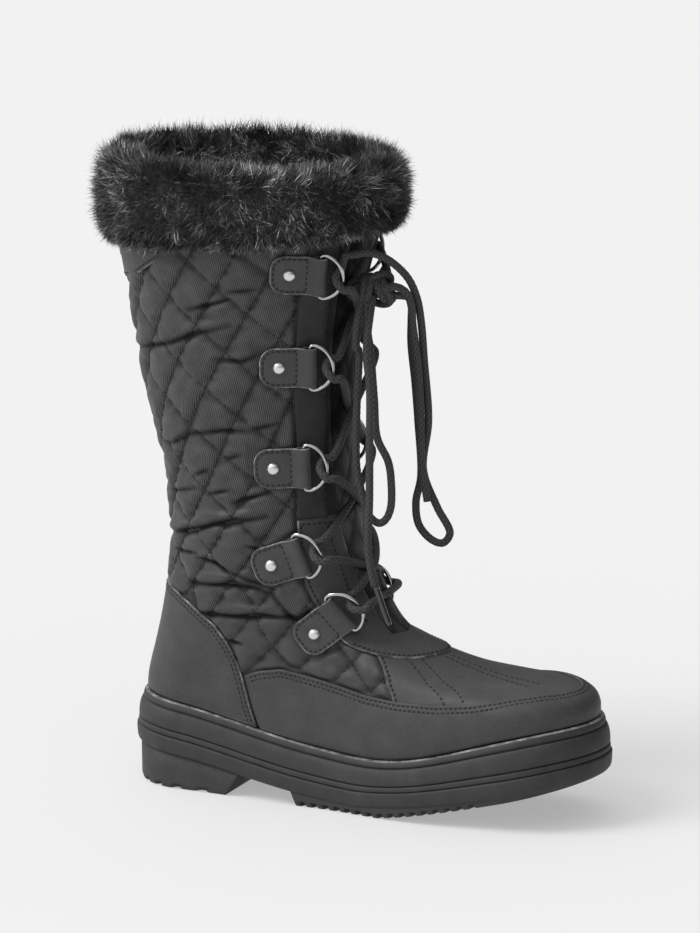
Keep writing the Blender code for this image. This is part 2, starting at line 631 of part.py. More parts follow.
def tube(name, path, radius, sides, look, closed=False):
    """Round tube along a path, with flat ends if it isn't closed."""
    path = np.array(path, float)
    count = len(path)
    after = np.roll(path, -1, 0) - path
    before = path - np.roll(path, 1, 0)
    if not closed:
        after[-1], before[0] = before[-1], after[0]
    tangent = after / np.linalg.norm(after, axis=1, keepdims=True)
    tangent = tangent + before / np.linalg.norm(before, axis=1, keepdims=True)
    tangent /= np.linalg.norm(tangent, axis=1, keepdims=True)
    guide = np.array([0.3, 1.0, 0.2]) if abs(tangent[0][1]) < 0.8 else np.array([1.0, 0.1, 0.3])
    points, side = [], np.cross(tangent[0], guide)
    for k in range(count):
        side = side - tangent[k] * (side @ tangent[k])
        side = side / np.linalg.norm(side)
        other = np.cross(tangent[k], side)
        for m in range(sides):
            angle = 2 * math.pi * m / sides
            points.append(path[k] + radius * (math.cos(angle) * side + math.sin(angle) * other))
    faces = []
    for k in range(count if closed else count - 1):
        turn = 0
        if closed and k == count - 1:
            gaps = [np.linalg.norm(points[k * sides] - points[m]) for m in range(sides)]
            turn = int(np.argmin(gaps))
        for m in range(sides):
            n, up = (m + 1) % sides, (k + 1) % count
            ahead = [up * sides + (n + turn) % sides, up * sides + (m + turn) % sides]
            faces.append([k * sides + m, k * sides + n] + ahead)
    if not closed:
        faces.append(list(range(sides))[::-1])
        faces.append(list(range((count - 1) * sides, count * sides)))
    return add(name, points, faces, look)


def ring_path(tab):
    """D-ring: a bar in the fold and a bow that stands off the stay."""
    eye = tab.lift + TAB_THICK + EYE_RADIUS
    flat = [(0.0, -RING_BAR), (0.0, RING_BAR)]
    for angle in np.linspace(0.22, math.pi - 0.22, 8):
        flat.append((RING_REACH * math.sin(angle), RING_HALF * math.cos(angle)))
    return [tab.point(TAB_FOLD + a * math.cos(tab.tilt), b, eye + a * math.sin(tab.tilt)) for a, b in flat]


def rivet(name, tab):
    points, faces, sides = [], [], RIVET_SIDES
    floor = tab.lift + TAB_THICK + RIVET_GAP
    for radius, height in ((1.0, 0.0), (0.95, 0.45), (0.6, 0.85)):
        for m in range(sides):
            angle = 2 * math.pi * m / sides
            reach = RIVET_RADIUS * radius
            rise = floor + RIVET_HIGH * height
            points.append(tab.point(reach * math.cos(angle), reach * math.sin(angle), rise))
    points.append(tab.point(0.0, 0.0, floor + RIVET_HIGH))
    for k in range(2):
        for m in range(sides):
            n = (m + 1) % sides
            faces.append([k * sides + m, k * sides + n, (k + 1) * sides + n, (k + 1) * sides + m])
    for m in range(sides):
        faces.append([2 * sides + m, 2 * sides + (m + 1) % sides, 3 * sides])
    faces.append(list(range(sides))[::-1])
    add(name, points, faces, "steel")


def fastening():
    tabs = {}
    for word, mirror in (("lateral", 1.0), ("medial", -1.0)):
        for k, row in enumerate(TABS):
            tab = Tab(row, mirror)
            tabs[word, k] = tab
            ring_tab(f"ring_tab_{word}_{k + 1}", tab)
            tube(f"d_ring_{word}_{k + 1}", ring_path(tab), RING_TUBE, 5, "steel", closed=True)
            rivet(f"rivet_{word}_{k + 1}", tab)
    return tabs


def round_bow(tab, low, high):
    """Lace that comes over the bow of a ring, down through it and back under it."""
    bow_a = TAB_FOLD + RING_REACH * math.cos(tab.tilt)
    bow_h = tab.lift + TAB_THICK + EYE_RADIUS + RING_REACH * math.sin(tab.tilt)
    reach = RING_TUBE + LACE / 2 + 0.6
    path = [tab.point(bow_a + 5.0, low, bow_h + reach)]
    for k, angle in enumerate((90, 135, 180, 225, 270)):
        b = low + (high - low) * k / 4
        turn = math.radians(angle)
        path.append(tab.point(bow_a + reach * math.cos(turn), b, bow_h + reach * math.sin(turn)))
    path.append(tab.point(bow_a + 5.0, high, bow_h - reach))
    return path


def lace_strands(tabs):
    """Two strands that zigzag up the rings and cross in front of the tongue."""
    routes = (("lateral", ("lateral", "medial"), CROSS_FRONT), ("medial", ("medial", "lateral"), CROSS_BACK))
    for word, sides, front in routes:
        sign = -1.0 if word == "lateral" else 1.0
        path = [np.array([BAR_AT[0], sign * 0.3, BAR_AT[1]]), np.array([BAR_AT[0], sign * 8.0, BAR_AT[1]])]
        for step in range(len(TABS)):
            k = len(TABS) - 1 - step
            loop = round_bow(tabs[sides[step % 2], k], LACE_LOW, LACE_HIGH)
            if step:
                middle = 0.5 * (path[-1] + loop[0])
                row = find_row(0.5, lambda p: p[2] - middle[2])
                path.append(np.array([boot(0.5, row)[0] + front, 0.0, middle[2]]))
            path += loop
        if word == "lateral":
            first, second = (np.array(p, float) for p in BOW["lace_loop_b"][:2])
            way = (second - first) / np.linalg.norm(second - first)
            path[-1] = np.array(LOOP_FROM)
            path += [first - way * 3.0, first - way * LOOP_GAP]
        else:
            reach = KNOT_SIZE[1] * math.sqrt(1.0 - KNOT_SHARES[2] ** 2) * math.cos(math.pi / 8) + 0.4
            path.append(np.array([KNOT_AT[0], KNOT_AT[1] + reach + 4.0, KNOT_AT[2]]))
            path.append(np.array([KNOT_AT[0], KNOT_AT[1] + reach, KNOT_AT[2]]))
        tube(f"lace_strand_{word}", path, LACE / 2, LACE_SIDES, "lace")


def lace_bow():
    rings = []
    for share in KNOT_SHARES:
        wide = math.sqrt(1.0 - share * share)
        angles = np.linspace(0.0, 2 * math.pi, 8, endpoint=False) + math.pi / 8
        x = KNOT_AT[0] + KNOT_SIZE[0] * wide * np.cos(angles)
        y = KNOT_AT[1] + KNOT_SIZE[1] * wide * np.sin(angles)
        rings.append([(a, b, KNOT_AT[2] + KNOT_SIZE[2] * share) for a, b in zip(x, y)])
    loft("lace_knot", rings, "lace")
    for name, path in BOW.items():
        tube(name, path, AGLET / 2 if name.startswith("aglet") else LACE / 2, LACE_SIDES, "lace")


def build():
    for old in list(bpy.data.objects):
        bpy.data.objects.remove(old, do_unlink=True)
    outsole()
    insole()
    upper()
    tongue()
    counter()
    mudguard()
    throat_patch()
    back_patch()
    fur_cuff()
    lace_strands(fastening())
    lace_bow()


build()
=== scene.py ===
"""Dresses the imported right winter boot: quilted shaft, leather panels, ribbed sole, fur and lace.

Lengths in the tables are millimetres in the frame of the CAD part: x runs from
the heel centre to the toe, y to the inner (medial) side, z up from the floor.
"""
import math

import bmesh
import bpy
import numpy as np
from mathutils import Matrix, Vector


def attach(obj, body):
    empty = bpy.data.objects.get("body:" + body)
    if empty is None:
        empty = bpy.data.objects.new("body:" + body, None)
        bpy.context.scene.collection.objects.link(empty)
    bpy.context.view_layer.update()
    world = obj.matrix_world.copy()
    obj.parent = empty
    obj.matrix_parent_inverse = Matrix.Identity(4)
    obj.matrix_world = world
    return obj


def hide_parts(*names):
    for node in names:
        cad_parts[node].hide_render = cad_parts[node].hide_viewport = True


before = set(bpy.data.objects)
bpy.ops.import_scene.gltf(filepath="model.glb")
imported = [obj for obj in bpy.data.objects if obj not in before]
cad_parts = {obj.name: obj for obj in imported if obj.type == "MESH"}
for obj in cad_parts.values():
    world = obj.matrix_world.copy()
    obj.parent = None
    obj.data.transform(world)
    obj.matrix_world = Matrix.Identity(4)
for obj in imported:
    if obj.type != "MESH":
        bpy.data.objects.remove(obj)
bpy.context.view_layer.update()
MM = 0.001
SEED = 11
rng = np.random.default_rng(SEED)

# Height of the sole's top edge, of the wall's lower lip and of the tread along x.
SOLE_BACK, SOLE_MID, SOLE_FRONT = -34.0, 118.0, 244.0
TOP_BACK, TOP_MID, TOP_FRONT = 51.4, 31.8, 57.8
LIP_BACK, LIP_MID, LIP_FRONT = 22.0, 4.5, 28.0
LIP_LOW_X, LIP_RISE_POWER = 112.0, 1.25
TREAD_RISE_X, TREAD_RISE_POWER = 126.0, 1.15

# Rings from the feather line to the collar, one row each.
RING_COLUMNS = ("x_back", "x_front", "z_back", "z_mid", "z_front", "follow", "heel_len", "toe_len",
                "heel", "waist", "ball", "toe", "shift", "waist_in")
RINGS = (
    (-26.0, 235.5, 0.5, 0.5, 0.5, 1, 28, 38, 27.0, 30.5, 39.6, 34.5, 6.0, 4.5),
    (-25.0, 235.5, 60, 41, 64.0, 0, 29, 40, 28.3, 31.5, 41.0, 35.0, 6.0, 4.0),
    (-23.3, 232.5, 68, 50, 69.3, 0, 31, 42, 29.3, 32.0, 41.0, 34.5, 6.0, 3.5),
    (-20.9, 224.0, 77, 59, 73.2, 0, 32, 46, 30.0, 32.5, 39.5, 32.0, 5.6, 3.0),
    (-19.0, 208.0, 85, 67, 75.0, 0, 33, 52, 30.3, 32.8, 37.0, 29.5, 5.0, 2.4),
    (-17.0, 186.0, 94, 76, 77.2, 0, 34, 58, 30.6, 33.3, 34.5, 27.0, 4.0, 1.6),
    (-15.4, 164.0, 103, 85, 82.6, 0, 36, 62, 31.0, 34.2, 32.5, 25.0, 2.6, 0.8),
    (-14.0, 144.0, 112, 95, 89.6, 0, 40, 62, 32.0, 35.6, 31.5, 23.5, 1.2, 0.3),
    (-12.8, 127.5, 122, 107, 97.0, 0, 45, 60, 34.0, 37.6, 33.5, 24.0, 0.4, 0.0),
    (-12.0, 111.5, 134, 126, 121.0, 0, 52, 60, 37.5, 40.4, 38.5, 32.0, 0.0, 0.0),
    (-11.8, 100.5, 150, 149, 148.0, 0, 56, 57, 41.0, 42.5, 42.0, 40.0, 0.0, 0.0),
    (-14.3, 95.0, 180, 181, 182.0, 0, 54, 54, 44.0, 44.0, 44.0, 44.0, 0.0, 0.0),
    (-26.6, 93.5, 230, 230, 230.0, 0, 60, 60, 48.0, 48.0, 48.0, 48.0, 0.0, 0.0),
    (-35.8, 98.0, 280, 280, 280.0, 0, 67, 67, 51.0, 51.0, 51.0, 51.0, 0.0, 0.0),
    (-41.5, 109.0, 308, 316, 322.0, 0, 75, 75, 53.5, 53.5, 53.5, 53.5, 0.0, 0.0),
)
TOP_ROW = len(RINGS) - 1.0
SOLE_RING = (-34.0, 244.0, 0, 0, 0, 1, 35, 47, 34.5, 38.0, 47.5, 43.0, 6.0, 5.0)
# Shares of a ring's length where its widths, its middle height and the toe's shift sit; the toe's narrowing.
HEEL_AT, WAIST_AT, BALL_AT = 0.12, 0.42, 0.70
MID_AT, SHIFT_FROM, TOE_POWER = 0.547, 0.45, 1.6

WALL = 2.6
# Lowest row of the throat, and the share of a ring that the wall takes above it.
THROAT_ROW, THROAT_STEP = 8, 0.875

RIM_INSET, RECESS, INSOLE_GAP = 12.0, 8.0, 0.4
HEEL_BREAST_TOP, HEEL_BREAST_LOW = 41.0, 31.0
HEEL_INSET, HEEL_NOTCHES = 2.6, 6
FORE_BREAST, FORE_INSET, FORE_FIRST, FORE_PITCH, FORE_NOTCHES = 76.0, 1.8, 80.5, 6.9, 16
NOTCH_DEEP, NOTCH_HIGH, NOTCH_HALF, NOTCH_SHARE = 3.2, 2.8, 1.7, 0.22

PANEL_GAP, PANEL_THICK = 0.68, 1.3
# Upper edge of the mudguard and the edge of the counter, seen from the side.
MUDGUARD_EDGE = ((40, 69), (52, 74), (66, 77), (82, 75), (99, 72), (118, 68), (137, 66.3), (160, 66.5),
                 (182, 69), (202, 71.8), (214, 72.7), (224, 72.6), (236, 72.6))
COUNTER_EDGE = ((39, 50.5), (53, 46), (67, 42.6), (77.6, 39.3), (87.7, 33.6), (96.7, 27), (102.6, 18),
                (108, 9), (112, 0), (114.5, -10), (116.5, -40))
BACK_PATCH_EDGE = ((-45, 284), (-30, 287.5), (-15, 294.5), (-6, 301), (0, 304.6))

TONGUE_GAP, TONGUE_THICK = 0.45, 3.4

# Section of the fur cuff: distance out from the shaft, height over the collar.
CUFF_SECTION = ((1.3, -1.0), (6.0, -2.5), (11.5, 3.5), (13.5, 14.0), (14.0, 27.0), (10.5, 39.0),
                (0.0, 44.0), (-9.0, 39.0), (-13.0, 27.0), (-12.0, 10.0), (-5.0, 0.9), (1.3, 0.9))
CUFF_LEVEL, CUFF_HIGH = 316.0, 44.0

# Ring tabs: rivet x and z on the lateral side, turn, lift over the panels.
TABS = ((75, 302, -3, .7), (68, 249, 0, .7), (64.5, 192, 2, .7), (63, 137, 20, .7), (86, 99, 40, 2.4))
TAB_BACK, TAB_FOLD, TAB_HALF, TAB_THICK = -10.5, 16.5, 11.2, 1.4
EYE_RADIUS, RING_TUBE = 1.75, 1.3
RING_BAR, RING_HALF, RING_REACH = 12.1, 13.0, 12.0
# The inner side's tabs sit further back and their rings lie flatter, two of them nearly on the tongue.
MEDIAL_BACK, RING_TILT = 7.0, (22.0, 16.0)
FLAT_RINGS, FLAT_TILT = (3, 4), 4.0
RIVET_RADIUS, RIVET_HIGH = 3.1, 1.5

LACE = 3.9
LACE_LOW, LACE_HIGH = -5.5, 4.5
LOOP_FROM = (101.0, -28.2, 308.6)
# Loops and ends of the bow, one row for each bend.
BOW = {
    "lace_loop_a": ((107.5, -12, 289), (109.3, -15.5, 279), (110.7, -17, 268), (112.2, -17, 258.6),
                    (115.1, -18, 230.8), (116.9, -18, 209.4), (123.5, -18, 196.5), (125.3, -18, 184.8),
                    (125.4, -19, 171), (122.6, -19.5, 164.2), (119, -20, 162), (115.1, -22, 164.9),
                    (111.7, -24, 175.2), (107.5, -24, 191.7), (106.5, -23, 208.4), (106.6, -22, 230.8),
                    (106.8, -21, 258.9), (106.2, -22, 258.9), (105.9, -19.5, 275), (107, -13.5, 287.5),
                    (109.5, -10, 290)),
    "lace_end_a": ((111, -11, 287), (112, -16.5, 278), (112.6, -21.5, 267), (113.9, -25.5, 256),
                   (116.8, -28, 240), (117.6, -30, 205.2), (118, -31, 177.2), (117.2, -31, 151),
                   (118.8, -30, 136.8), (120.5, -29, 129)),
    "lace_end_b": ((112, -9, 289), (118.5, -11, 292), (124, -8, 292.5), (128.2, -4, 288.5),
                   (129.6, -1, 281), (129.4, 1.5, 270), (130.2, 3.5, 258), (131.6, 4.5, 243.6),
                   (132.6, 5.5, 215.4), (132.8, 6, 192.8), (136.2, 6.5, 170)),
    "lace_loop_b": ((105.5, -25, 312.2), (112, -20, 313), (118, -15, 310.5), (123.5, -9, 305),
                    (128.5, -2, 296), (131.2, 3.5, 284), (132.1, 7, 270), (132.8, 9.5, 248.5),
                    (135, 10.5, 214.8), (131.8, 11, 186.2), (139.2, 13, 165.6), (146.5, 14, 151.4),
                    (141.9, 15, 145), (134.8, 16, 145.8), (126.6, 17, 153.2), (124.3, 18, 165.2),
                    (127.3, 18, 180.8), (125.5, 18, 212.3), (124.2, 17, 233.3), (122.6, 15, 256.2),
                    (124, 12, 270), (127, 5, 281), (127.5, -1.5, 286), (123, -5, 287), (116, -6, 286),
                    (112, -6, 287)),
}
AGLET_LINE = ((120.8, -28.8, 128.6), (124.6, -28, 117.1), (128.4, -27, 106.5))


def smooth(q):
    q = np.clip(q, 0.0, 1.0)
    return q * q * (3.0 - 2.0 * q)


def floats(*values):
    """The values as float arrays of one shape."""
    return np.broadcast_arrays(*(np.asarray(value, float) for value in values))


def unit(vectors):
    return vectors / np.linalg.norm(vectors, axis=-1, keepdims=True)


def run_along(points):
    """Distance from a line's first point to each of its points."""
    return np.concatenate([[0], np.cumsum(np.linalg.norm(np.diff(points, axis=0), axis=1))])


def sole_top(x):
    back = TOP_MID + (TOP_BACK - TOP_MID) * smooth((SOLE_MID - x) / (SOLE_MID - SOLE_BACK))
    front = TOP_MID + (TOP_FRONT - TOP_MID) * smooth((x - SOLE_MID) / (SOLE_FRONT - SOLE_MID))
    return np.where(x < SOLE_MID, back, front)


def sole_lip(x):
    back = LIP_MID + (LIP_BACK - LIP_MID) * smooth((LIP_LOW_X - x) / (LIP_LOW_X - SOLE_BACK))
    ahead = np.clip((x - LIP_LOW_X) / (SOLE_FRONT - LIP_LOW_X), 0.0, 1.0)
    return np.where(x < LIP_LOW_X, back, LIP_MID + (LIP_FRONT - LIP_MID) * ahead ** LIP_RISE_POWER)


def tread(x):
    ahead = np.clip((x - TREAD_RISE_X) / (SOLE_FRONT - TREAD_RISE_X), 0.0, 1.0)
    return LIP_FRONT * ahead ** TREAD_RISE_POWER


def ring_row(v):
    """Columns of the ring table at row position v (Catmull-Rom between rows)."""
    table = np.array(RINGS, float)
    v = np.clip(np.asarray(v, float), 0.0, len(table) - 1.0)
    k = np.minimum(v.astype(int), len(table) - 2)
    f = (v - k)[..., None]
    a, b = table[np.maximum(k - 1, 0)], table[k]
    c, d = table[k + 1], table[np.minimum(k + 2, len(table) - 1)]
    mixed = b + 0.5 * f * (c - a + f * (2 * a - 5 * b + 4 * c - d + f * (3 * (b - c) + d - a)))
    return {name: mixed[..., i] for i, name in enumerate(RING_COLUMNS)}


def ring_plan(t, row):
    """Plan point of a ring: t 0 at the heel, a quarter lateral, a half at the toe."""
    t = np.asarray(t, float) % 1.0
    side = np.where(t < 0.5, -1.0, 1.0)
    share = 0.5 - 0.5 * np.cos(np.pi * (1.0 - np.abs(1.0 - 2.0 * t)))
    length = row["x_front"] - row["x_back"]
    x = row["x_back"] + length * share
    waist = row["waist"] - np.where(side > 0, row["waist_in"], 0.0)
    half = np.where(share < WAIST_AT,
                    row["heel"] + (waist - row["heel"]) * smooth((share - HEEL_AT) / (WAIST_AT - HEEL_AT)),
                    waist + (row["ball"] - waist) * smooth((share - WAIST_AT) / (BALL_AT - WAIST_AT)))
    ahead = np.clip((share - BALL_AT) / (1.0 - BALL_AT), 0.0, 1.0)
    narrow = row["ball"] + (row["toe"] - row["ball"]) * ahead ** TOE_POWER
    half = np.where(share > BALL_AT, narrow, half)
    back = np.clip(1.0 - share * length / row["heel_len"], 0.0, 1.0)
    front = np.clip(1.0 - (1.0 - share) * length / row["toe_len"], 0.0, 1.0)
    half = half * np.sqrt(1.0 - back ** 2) * np.sqrt(1.0 - front ** 2)
    y = side * half + row["shift"] * smooth((share - SHIFT_FROM) / (1.0 - SHIFT_FROM))
    return x, y, share


def boot(t, v):
    """Outer surface of the upper."""
    t, v = floats(t, v)
    row = ring_row(v)
    x, y, share = ring_plan(t, row)
    back = row["z_mid"] + (row["z_back"] - row["z_mid"]) * smooth((MID_AT - share) / MID_AT)
    front = row["z_mid"] + (row["z_front"] - row["z_mid"]) * smooth((share - MID_AT) / (1.0 - MID_AT))
    z = row["follow"] * sole_top(x) + np.where(share < MID_AT, back, front)
    return np.stack([x, y, z], -1)


def boot_normal(t, v):
    """Way out of the upper, level along its lowest row."""
    step = 1e-3
    low, high = np.clip(v - step, 0, None), np.clip(v + step, None, TOP_ROW)
    normal = np.cross(boot(t + step, v) - boot(t - step, v), boot(t, high) - boot(t, low))
    normal[..., 2] *= np.clip(np.asarray(v) * 1.5, 0.0, 1.0)
    return unit(normal)


def skin(t, v, out):
    t, v = floats(t, v)
    return boot(t, v) + np.asarray(out)[..., None] * boot_normal(t, v)


def sole_line(t, inset):
    """Plan of the sole's outline moved in by inset."""
    row = {name: np.array(float(value)) for name, value in zip(RING_COLUMNS, SOLE_RING)}
    step = 1e-4
    x, y, _ = ring_plan(t, row)
    xa, ya, _ = ring_plan(t + step, row)
    xb, yb, _ = ring_plan(t - step, row)
    length = np.hypot(xa - xb, ya - yb)
    return x - (ya - yb) / length * inset, y + (xa - xb) / length * inset


# Greys are a little cool: gain of their blue.
COOL = 1.01


def grey_colour(grey):
    return grey, grey, grey * COOL, 1.0


class Look:
    """Principled material with short calls for its nodes."""

    def __init__(self, name, grey, rough, **sockets):
        self.made = bpy.data.materials.new(name)
        self.made.use_nodes = True
        self.tree = self.made.node_tree
        self.shader = self.tree.nodes["Principled BSDF"]
        self.shader.inputs["Base Color"].default_value = grey_colour(grey)
        self.shader.inputs["Roughness"].default_value = rough
        for key, value in sockets.items():
            self.shader.inputs[key.replace("_", " ")].default_value = value

    def node(self, kind, inputs=None, **fields):
        made = self.tree.nodes.new("ShaderNode" + kind)
        for key, value in fields.items():
            setattr(made, key, value)
        for key, value in (inputs or {}).items():
            if isinstance(value, bpy.types.NodeSocket):
                self.tree.links.new(value, made.inputs[key])
            else:
                made.inputs[key].default_value = value
        return made

    def math(self, operation, a, b=0.0):
        return self.node("Math", {0: a, 1: b}, operation=operation).outputs[0]

    def texture(self, kind, size, **inputs):
        """Outputs of a texture whose grain is about size millimetres."""
        place = self.node("TexCoord").outputs["Object"]
        return self.node(kind, {"Vector": place, "Scale": 1.0 / (size * MM), **inputs}).outputs

    def noise(self, size, detail=2.0, rough=0.5):
        return self.texture("TexNoise", size, Detail=detail, Roughness=rough)["Fac"]

    def cells(self, size):
        return self.texture("TexVoronoi", size)["Distance"]

    def shade(self):
        return self.node("Attribute", attribute_name="shade").outputs["Fac"]

    def ramp(self, value, stops):
        """Greys along value, as (place, grey) rows."""
        made = self.node("ValToRGB", {"Fac": value})
        band = made.color_ramp
        while len(band.elements) < len(stops):
            band.elements.new(0.5)
        for element, (place, grey) in zip(band.elements, stops):
            element.position, element.color = place, grey_colour(grey)
        return made.outputs["Color"]

    def colour(self, socket):
        self.tree.links.new(socket, self.shader.inputs["Base Color"])

    def rough(self, value, low, high):
        made = self.node("MapRange", {"Value": value, "To Min": low, "To Max": high})
        self.tree.links.new(made.outputs["Result"], self.shader.inputs["Roughness"])

    def bump(self, height, strength, depth):
        """Bump depth millimetres deep, laid over the one set before."""
        inputs = {"Height": height, "Strength": strength, "Distance": depth * MM}
        old = self.shader.inputs["Normal"].links
        if old:
            inputs["Normal"] = old[0].from_socket
        self.tree.links.new(self.node("Bump", inputs).outputs["Normal"], self.shader.inputs["Normal"])


TWILL_PITCH, TWILL_TURN, TWILL_WOBBLE = 0.95, 65.0, 2.4
# Shares of the ribs and of soft clouds in the twill's tone, what is left where it fades to painted shade, its
# greys and gloss.
RIB_SHARE, CLOUD_SHARE, PAINTED_SHADE_LEFT, TWILL_GLOSS = 0.6, 0.4, 0.1, 0.9
TWILL_GREYS = ((0.0, 0.005), (0.5, 0.036), (0.85, 0.062))


def nylon_look(name, low=0.0, high=0.0):
    """Fine twill: ribs along a steep diagonal of the cloth's millimetre coordinates.

    With low < high it darkens from the one height to the other: painted shade deep in the throat.
    """
    look = Look(name, 0.05, 0.45, Sheen_Weight=0.05, Sheen_Roughness=0.4, Specular_IOR_Level=0.5)
    parts = look.node("SeparateXYZ", {0: look.node("UVMap", uv_map="UVMap").outputs["UV"]}).outputs
    turn, wave = math.radians(TWILL_TURN), 2 * math.pi / TWILL_PITCH
    across = look.math("SUBTRACT", look.math("MULTIPLY", parts["X"], math.sin(turn) * wave),
                       look.math("MULTIPLY", parts["Y"], math.cos(turn) * wave))
    wobble = look.math("MULTIPLY", look.noise(2.2, 3.0), TWILL_WOBBLE)
    rib = look.math("MULTIPLY_ADD", look.math("SINE", look.math("ADD", across, wobble)), 0.5)
    rib.node.inputs[2].default_value = 0.5
    mixed = look.math("ADD", look.math("MULTIPLY", rib, RIB_SHARE),
                      look.math("MULTIPLY", look.noise(9.0, 4.0), CLOUD_SHARE))
    # The mesh's shade attribute darkens the twill: painted shade in the cloth's valleys and creases, at the
    # throat and on the tongue.
    mixed = look.math("MULTIPLY", mixed, look.shade())
    if low < high:
        fade = look.node("MapRange", {"Value": parts["Y"], "From Min": low, "From Max": high,
                                      "To Min": 1.0, "To Max": PAINTED_SHADE_LEFT})
        mixed = look.math("MULTIPLY", mixed, fade.outputs["Result"])
    look.colour(look.ramp(mixed, TWILL_GREYS))
    # The gloss follows the painted shade, so shaded parts reflect less.
    gloss = look.math("MULTIPLY", mixed, TWILL_GLOSS)
    look.tree.links.new(gloss, look.shader.inputs["Specular IOR Level"])
    look.rough(look.noise(1.3), 0.44, 0.6)
    look.bump(rib, 0.5, 0.14)
    look.bump(look.noise(4.0, 4.0), 0.35, 0.6)
    return look.made


def leather_look():
    look = Look("leather", 0.055, 0.55, Specular_IOR_Level=0.4)
    grain = look.math("ADD", look.math("MULTIPLY", look.noise(14.0, 5.0, 0.6), 0.5),
                      look.math("MULTIPLY", look.noise(0.9, 2.0), 0.5))
    look.colour(look.ramp(grain, ((0.32, 0.034), (0.52, 0.047), (0.72, 0.066))))
    look.rough(look.noise(2.0, 3.0), 0.46, 0.66)
    look.bump(look.cells(1.1), 0.5, 0.12)
    look.bump(look.noise(0.5, 2.0), 0.3, 0.06)
    look.bump(look.noise(9.0, 3.0), 0.15, 0.5)
    return look.made


def plain_look(name, grey, rough, bump=None, greys=None, gloss=None, **sockets):
    """Material led by noise, each given by its (size, detail, rough) values.

    bump: noise, strength, depth; greys: noise or None for the mesh's own shade, stops of a ramp;
    gloss: noise, lowest and highest roughness.
    """
    look = Look(name, grey, rough, **sockets)
    if greys:
        look.colour(look.ramp(look.noise(*greys[0]) if greys[0] else look.shade(), greys[1]))
    if gloss:
        look.rough(look.noise(*gloss[0]), *gloss[1:])
    if bump:
        look.bump(look.noise(*bump[0]), *bump[1:])
    return look.made


def edge_look(name, pale):
    stops = (0.35, 0.045), (0.56, 0.45 * pale), (0.78, pale)
    return plain_look(name, pale, 0.6, ((0.7,), 0.4, 0.1), ((6.0, 4.0, 0.7), stops))


def steel_look(name, grey, rough):
    gloss = (1.5, 4.0), rough * 0.7, rough * 1.5
    return plain_look(name, grey, rough, ((2.5, 2.0), 0.08, 0.1), gloss=gloss, Metallic=1.0)


def fleece_look(name, grey):
    stops = (0.3, grey * 0.5), (0.7, grey * 1.4)
    return plain_look(name, grey, 0.95, ((1.0, 4.0, 0.7), 0.8, 0.6), ((1.4, 4.0), stops), Sheen_Weight=0.2)


RUBBER_GREYS = ((0.3, 0.028), (0.6, 0.037), (0.85, 0.055))
FUR_GREYS = ((0.0, 0.006), (0.25, 0.05), (0.55, 0.21), (1.0, 0.8))
# The lace's greys follow its shade attribute, darker between the braid's ridges: painted shade.
LACE_GREYS = ((0.0, 0.006), (0.5, 0.026), (1.0, 0.07))
LOOKS = {
    "nylon": nylon_look("nylon_twill"),
    # The tongue's twill fades to painted shade from 172 to 212 mm up, deep in the throat.
    "tongue": nylon_look("tongue_twill_painted_shade", 172.0, 212.0),
    "leather": leather_look(),
    "stay": plain_look("stay_cloth", 0.03, 0.6, ((0.45, 2.0), 0.35, 0.06),
                       ((6.0, 4.0), ((0.3, 0.016), (0.7, 0.026))), Specular_IOR_Level=0.3),
    "rubber": plain_look("sole_rubber", 0.05, 0.6, ((0.6, 3.0), 0.3, 0.06), ((11.0, 6.0, 0.65), RUBBER_GREYS),
                         ((3.0, 4.0), 0.5, 0.72), Specular_IOR_Level=0.35),
    "cut_edge": edge_look("cut_edge", 0.46),
    "dull_edge": edge_look("dull_edge", 0.12),
    "fur": plain_look("fur", 0.01, 0.42, greys=(None, FUR_GREYS), Specular_IOR_Level=0.6),
    "lace": plain_look("lace_braid", 0.015, 0.7, ((0.35, 2.0), 0.4, 0.1), (None, LACE_GREYS),
                       Specular_IOR_Level=0.3, Sheen_Weight=0.05),
    "steel": steel_look("ring_steel", 0.46, 0.14),
    "rivet": steel_look("rivet_steel", 0.7, 0.32),
    "thread": plain_look("thread", 0.012, 0.6, ((0.3,), 0.4, 0.05),
                         ((0.8, 2.0), ((0.3, 0.004), (0.7, 0.013)))),
    "fleece": fleece_look("fleece_lining", 0.02),
    "felt": fleece_look("felt_footbed", 0.03),
    "tip": plain_look("lace_tip", 0.02, 0.22, ((1.2,), 0.1, 0.05), gloss=((2.0, 3.0), 0.18, 0.32),
                      Coat_Weight=0.6, Coat_Roughness=0.1),
    # The floor's emission makes it glow: painted light that lightens its cast shadow and the backdrop.
    "floor": plain_look("studio_floor", 0.42, 0.9, ((3.0,), 0.02, 0.1), Specular_IOR_Level=0.1,
                        Emission_Color=(1.0, 1.0, 1.0, 1.0), Emission_Strength=0.376),
}


def halve(above, low, high):
    """Values between low and high from which on above(value) holds."""
    for _ in range(40):
        middle = 0.5 * (low + high)
        over = above(middle)
        low, high = np.where(over, low, middle), np.where(over, middle, high)
    return 0.5 * (low + high)


def row_where(t, test, low, high):
    """Rows where test(point) turns positive, going up at steps t."""
    flat = np.zeros(np.shape(t))
    return halve(lambda v: test(boot(t, v)) > 0, flat + low, flat + high)


def step_where(v, test, low, high):
    """Steps where test(point) turns positive, going forward at rows v."""
    flat = np.zeros(np.shape(v))
    return halve(lambda t: test(boot(t, v)) > 0, flat + low, flat + high)


def column(table, x):
    table = np.array(table, float)
    return np.interp(x, table[:, 0], table[:, 1])


def slopes(t, v):
    """How the surface moves on for a step round it and for a row up it."""
    step = 1e-4
    around, up = boot(t + step, v) - boot(t - step, v), boot(t, v + step) - boot(t, v - step)
    return around / (2 * step), up / (2 * step)


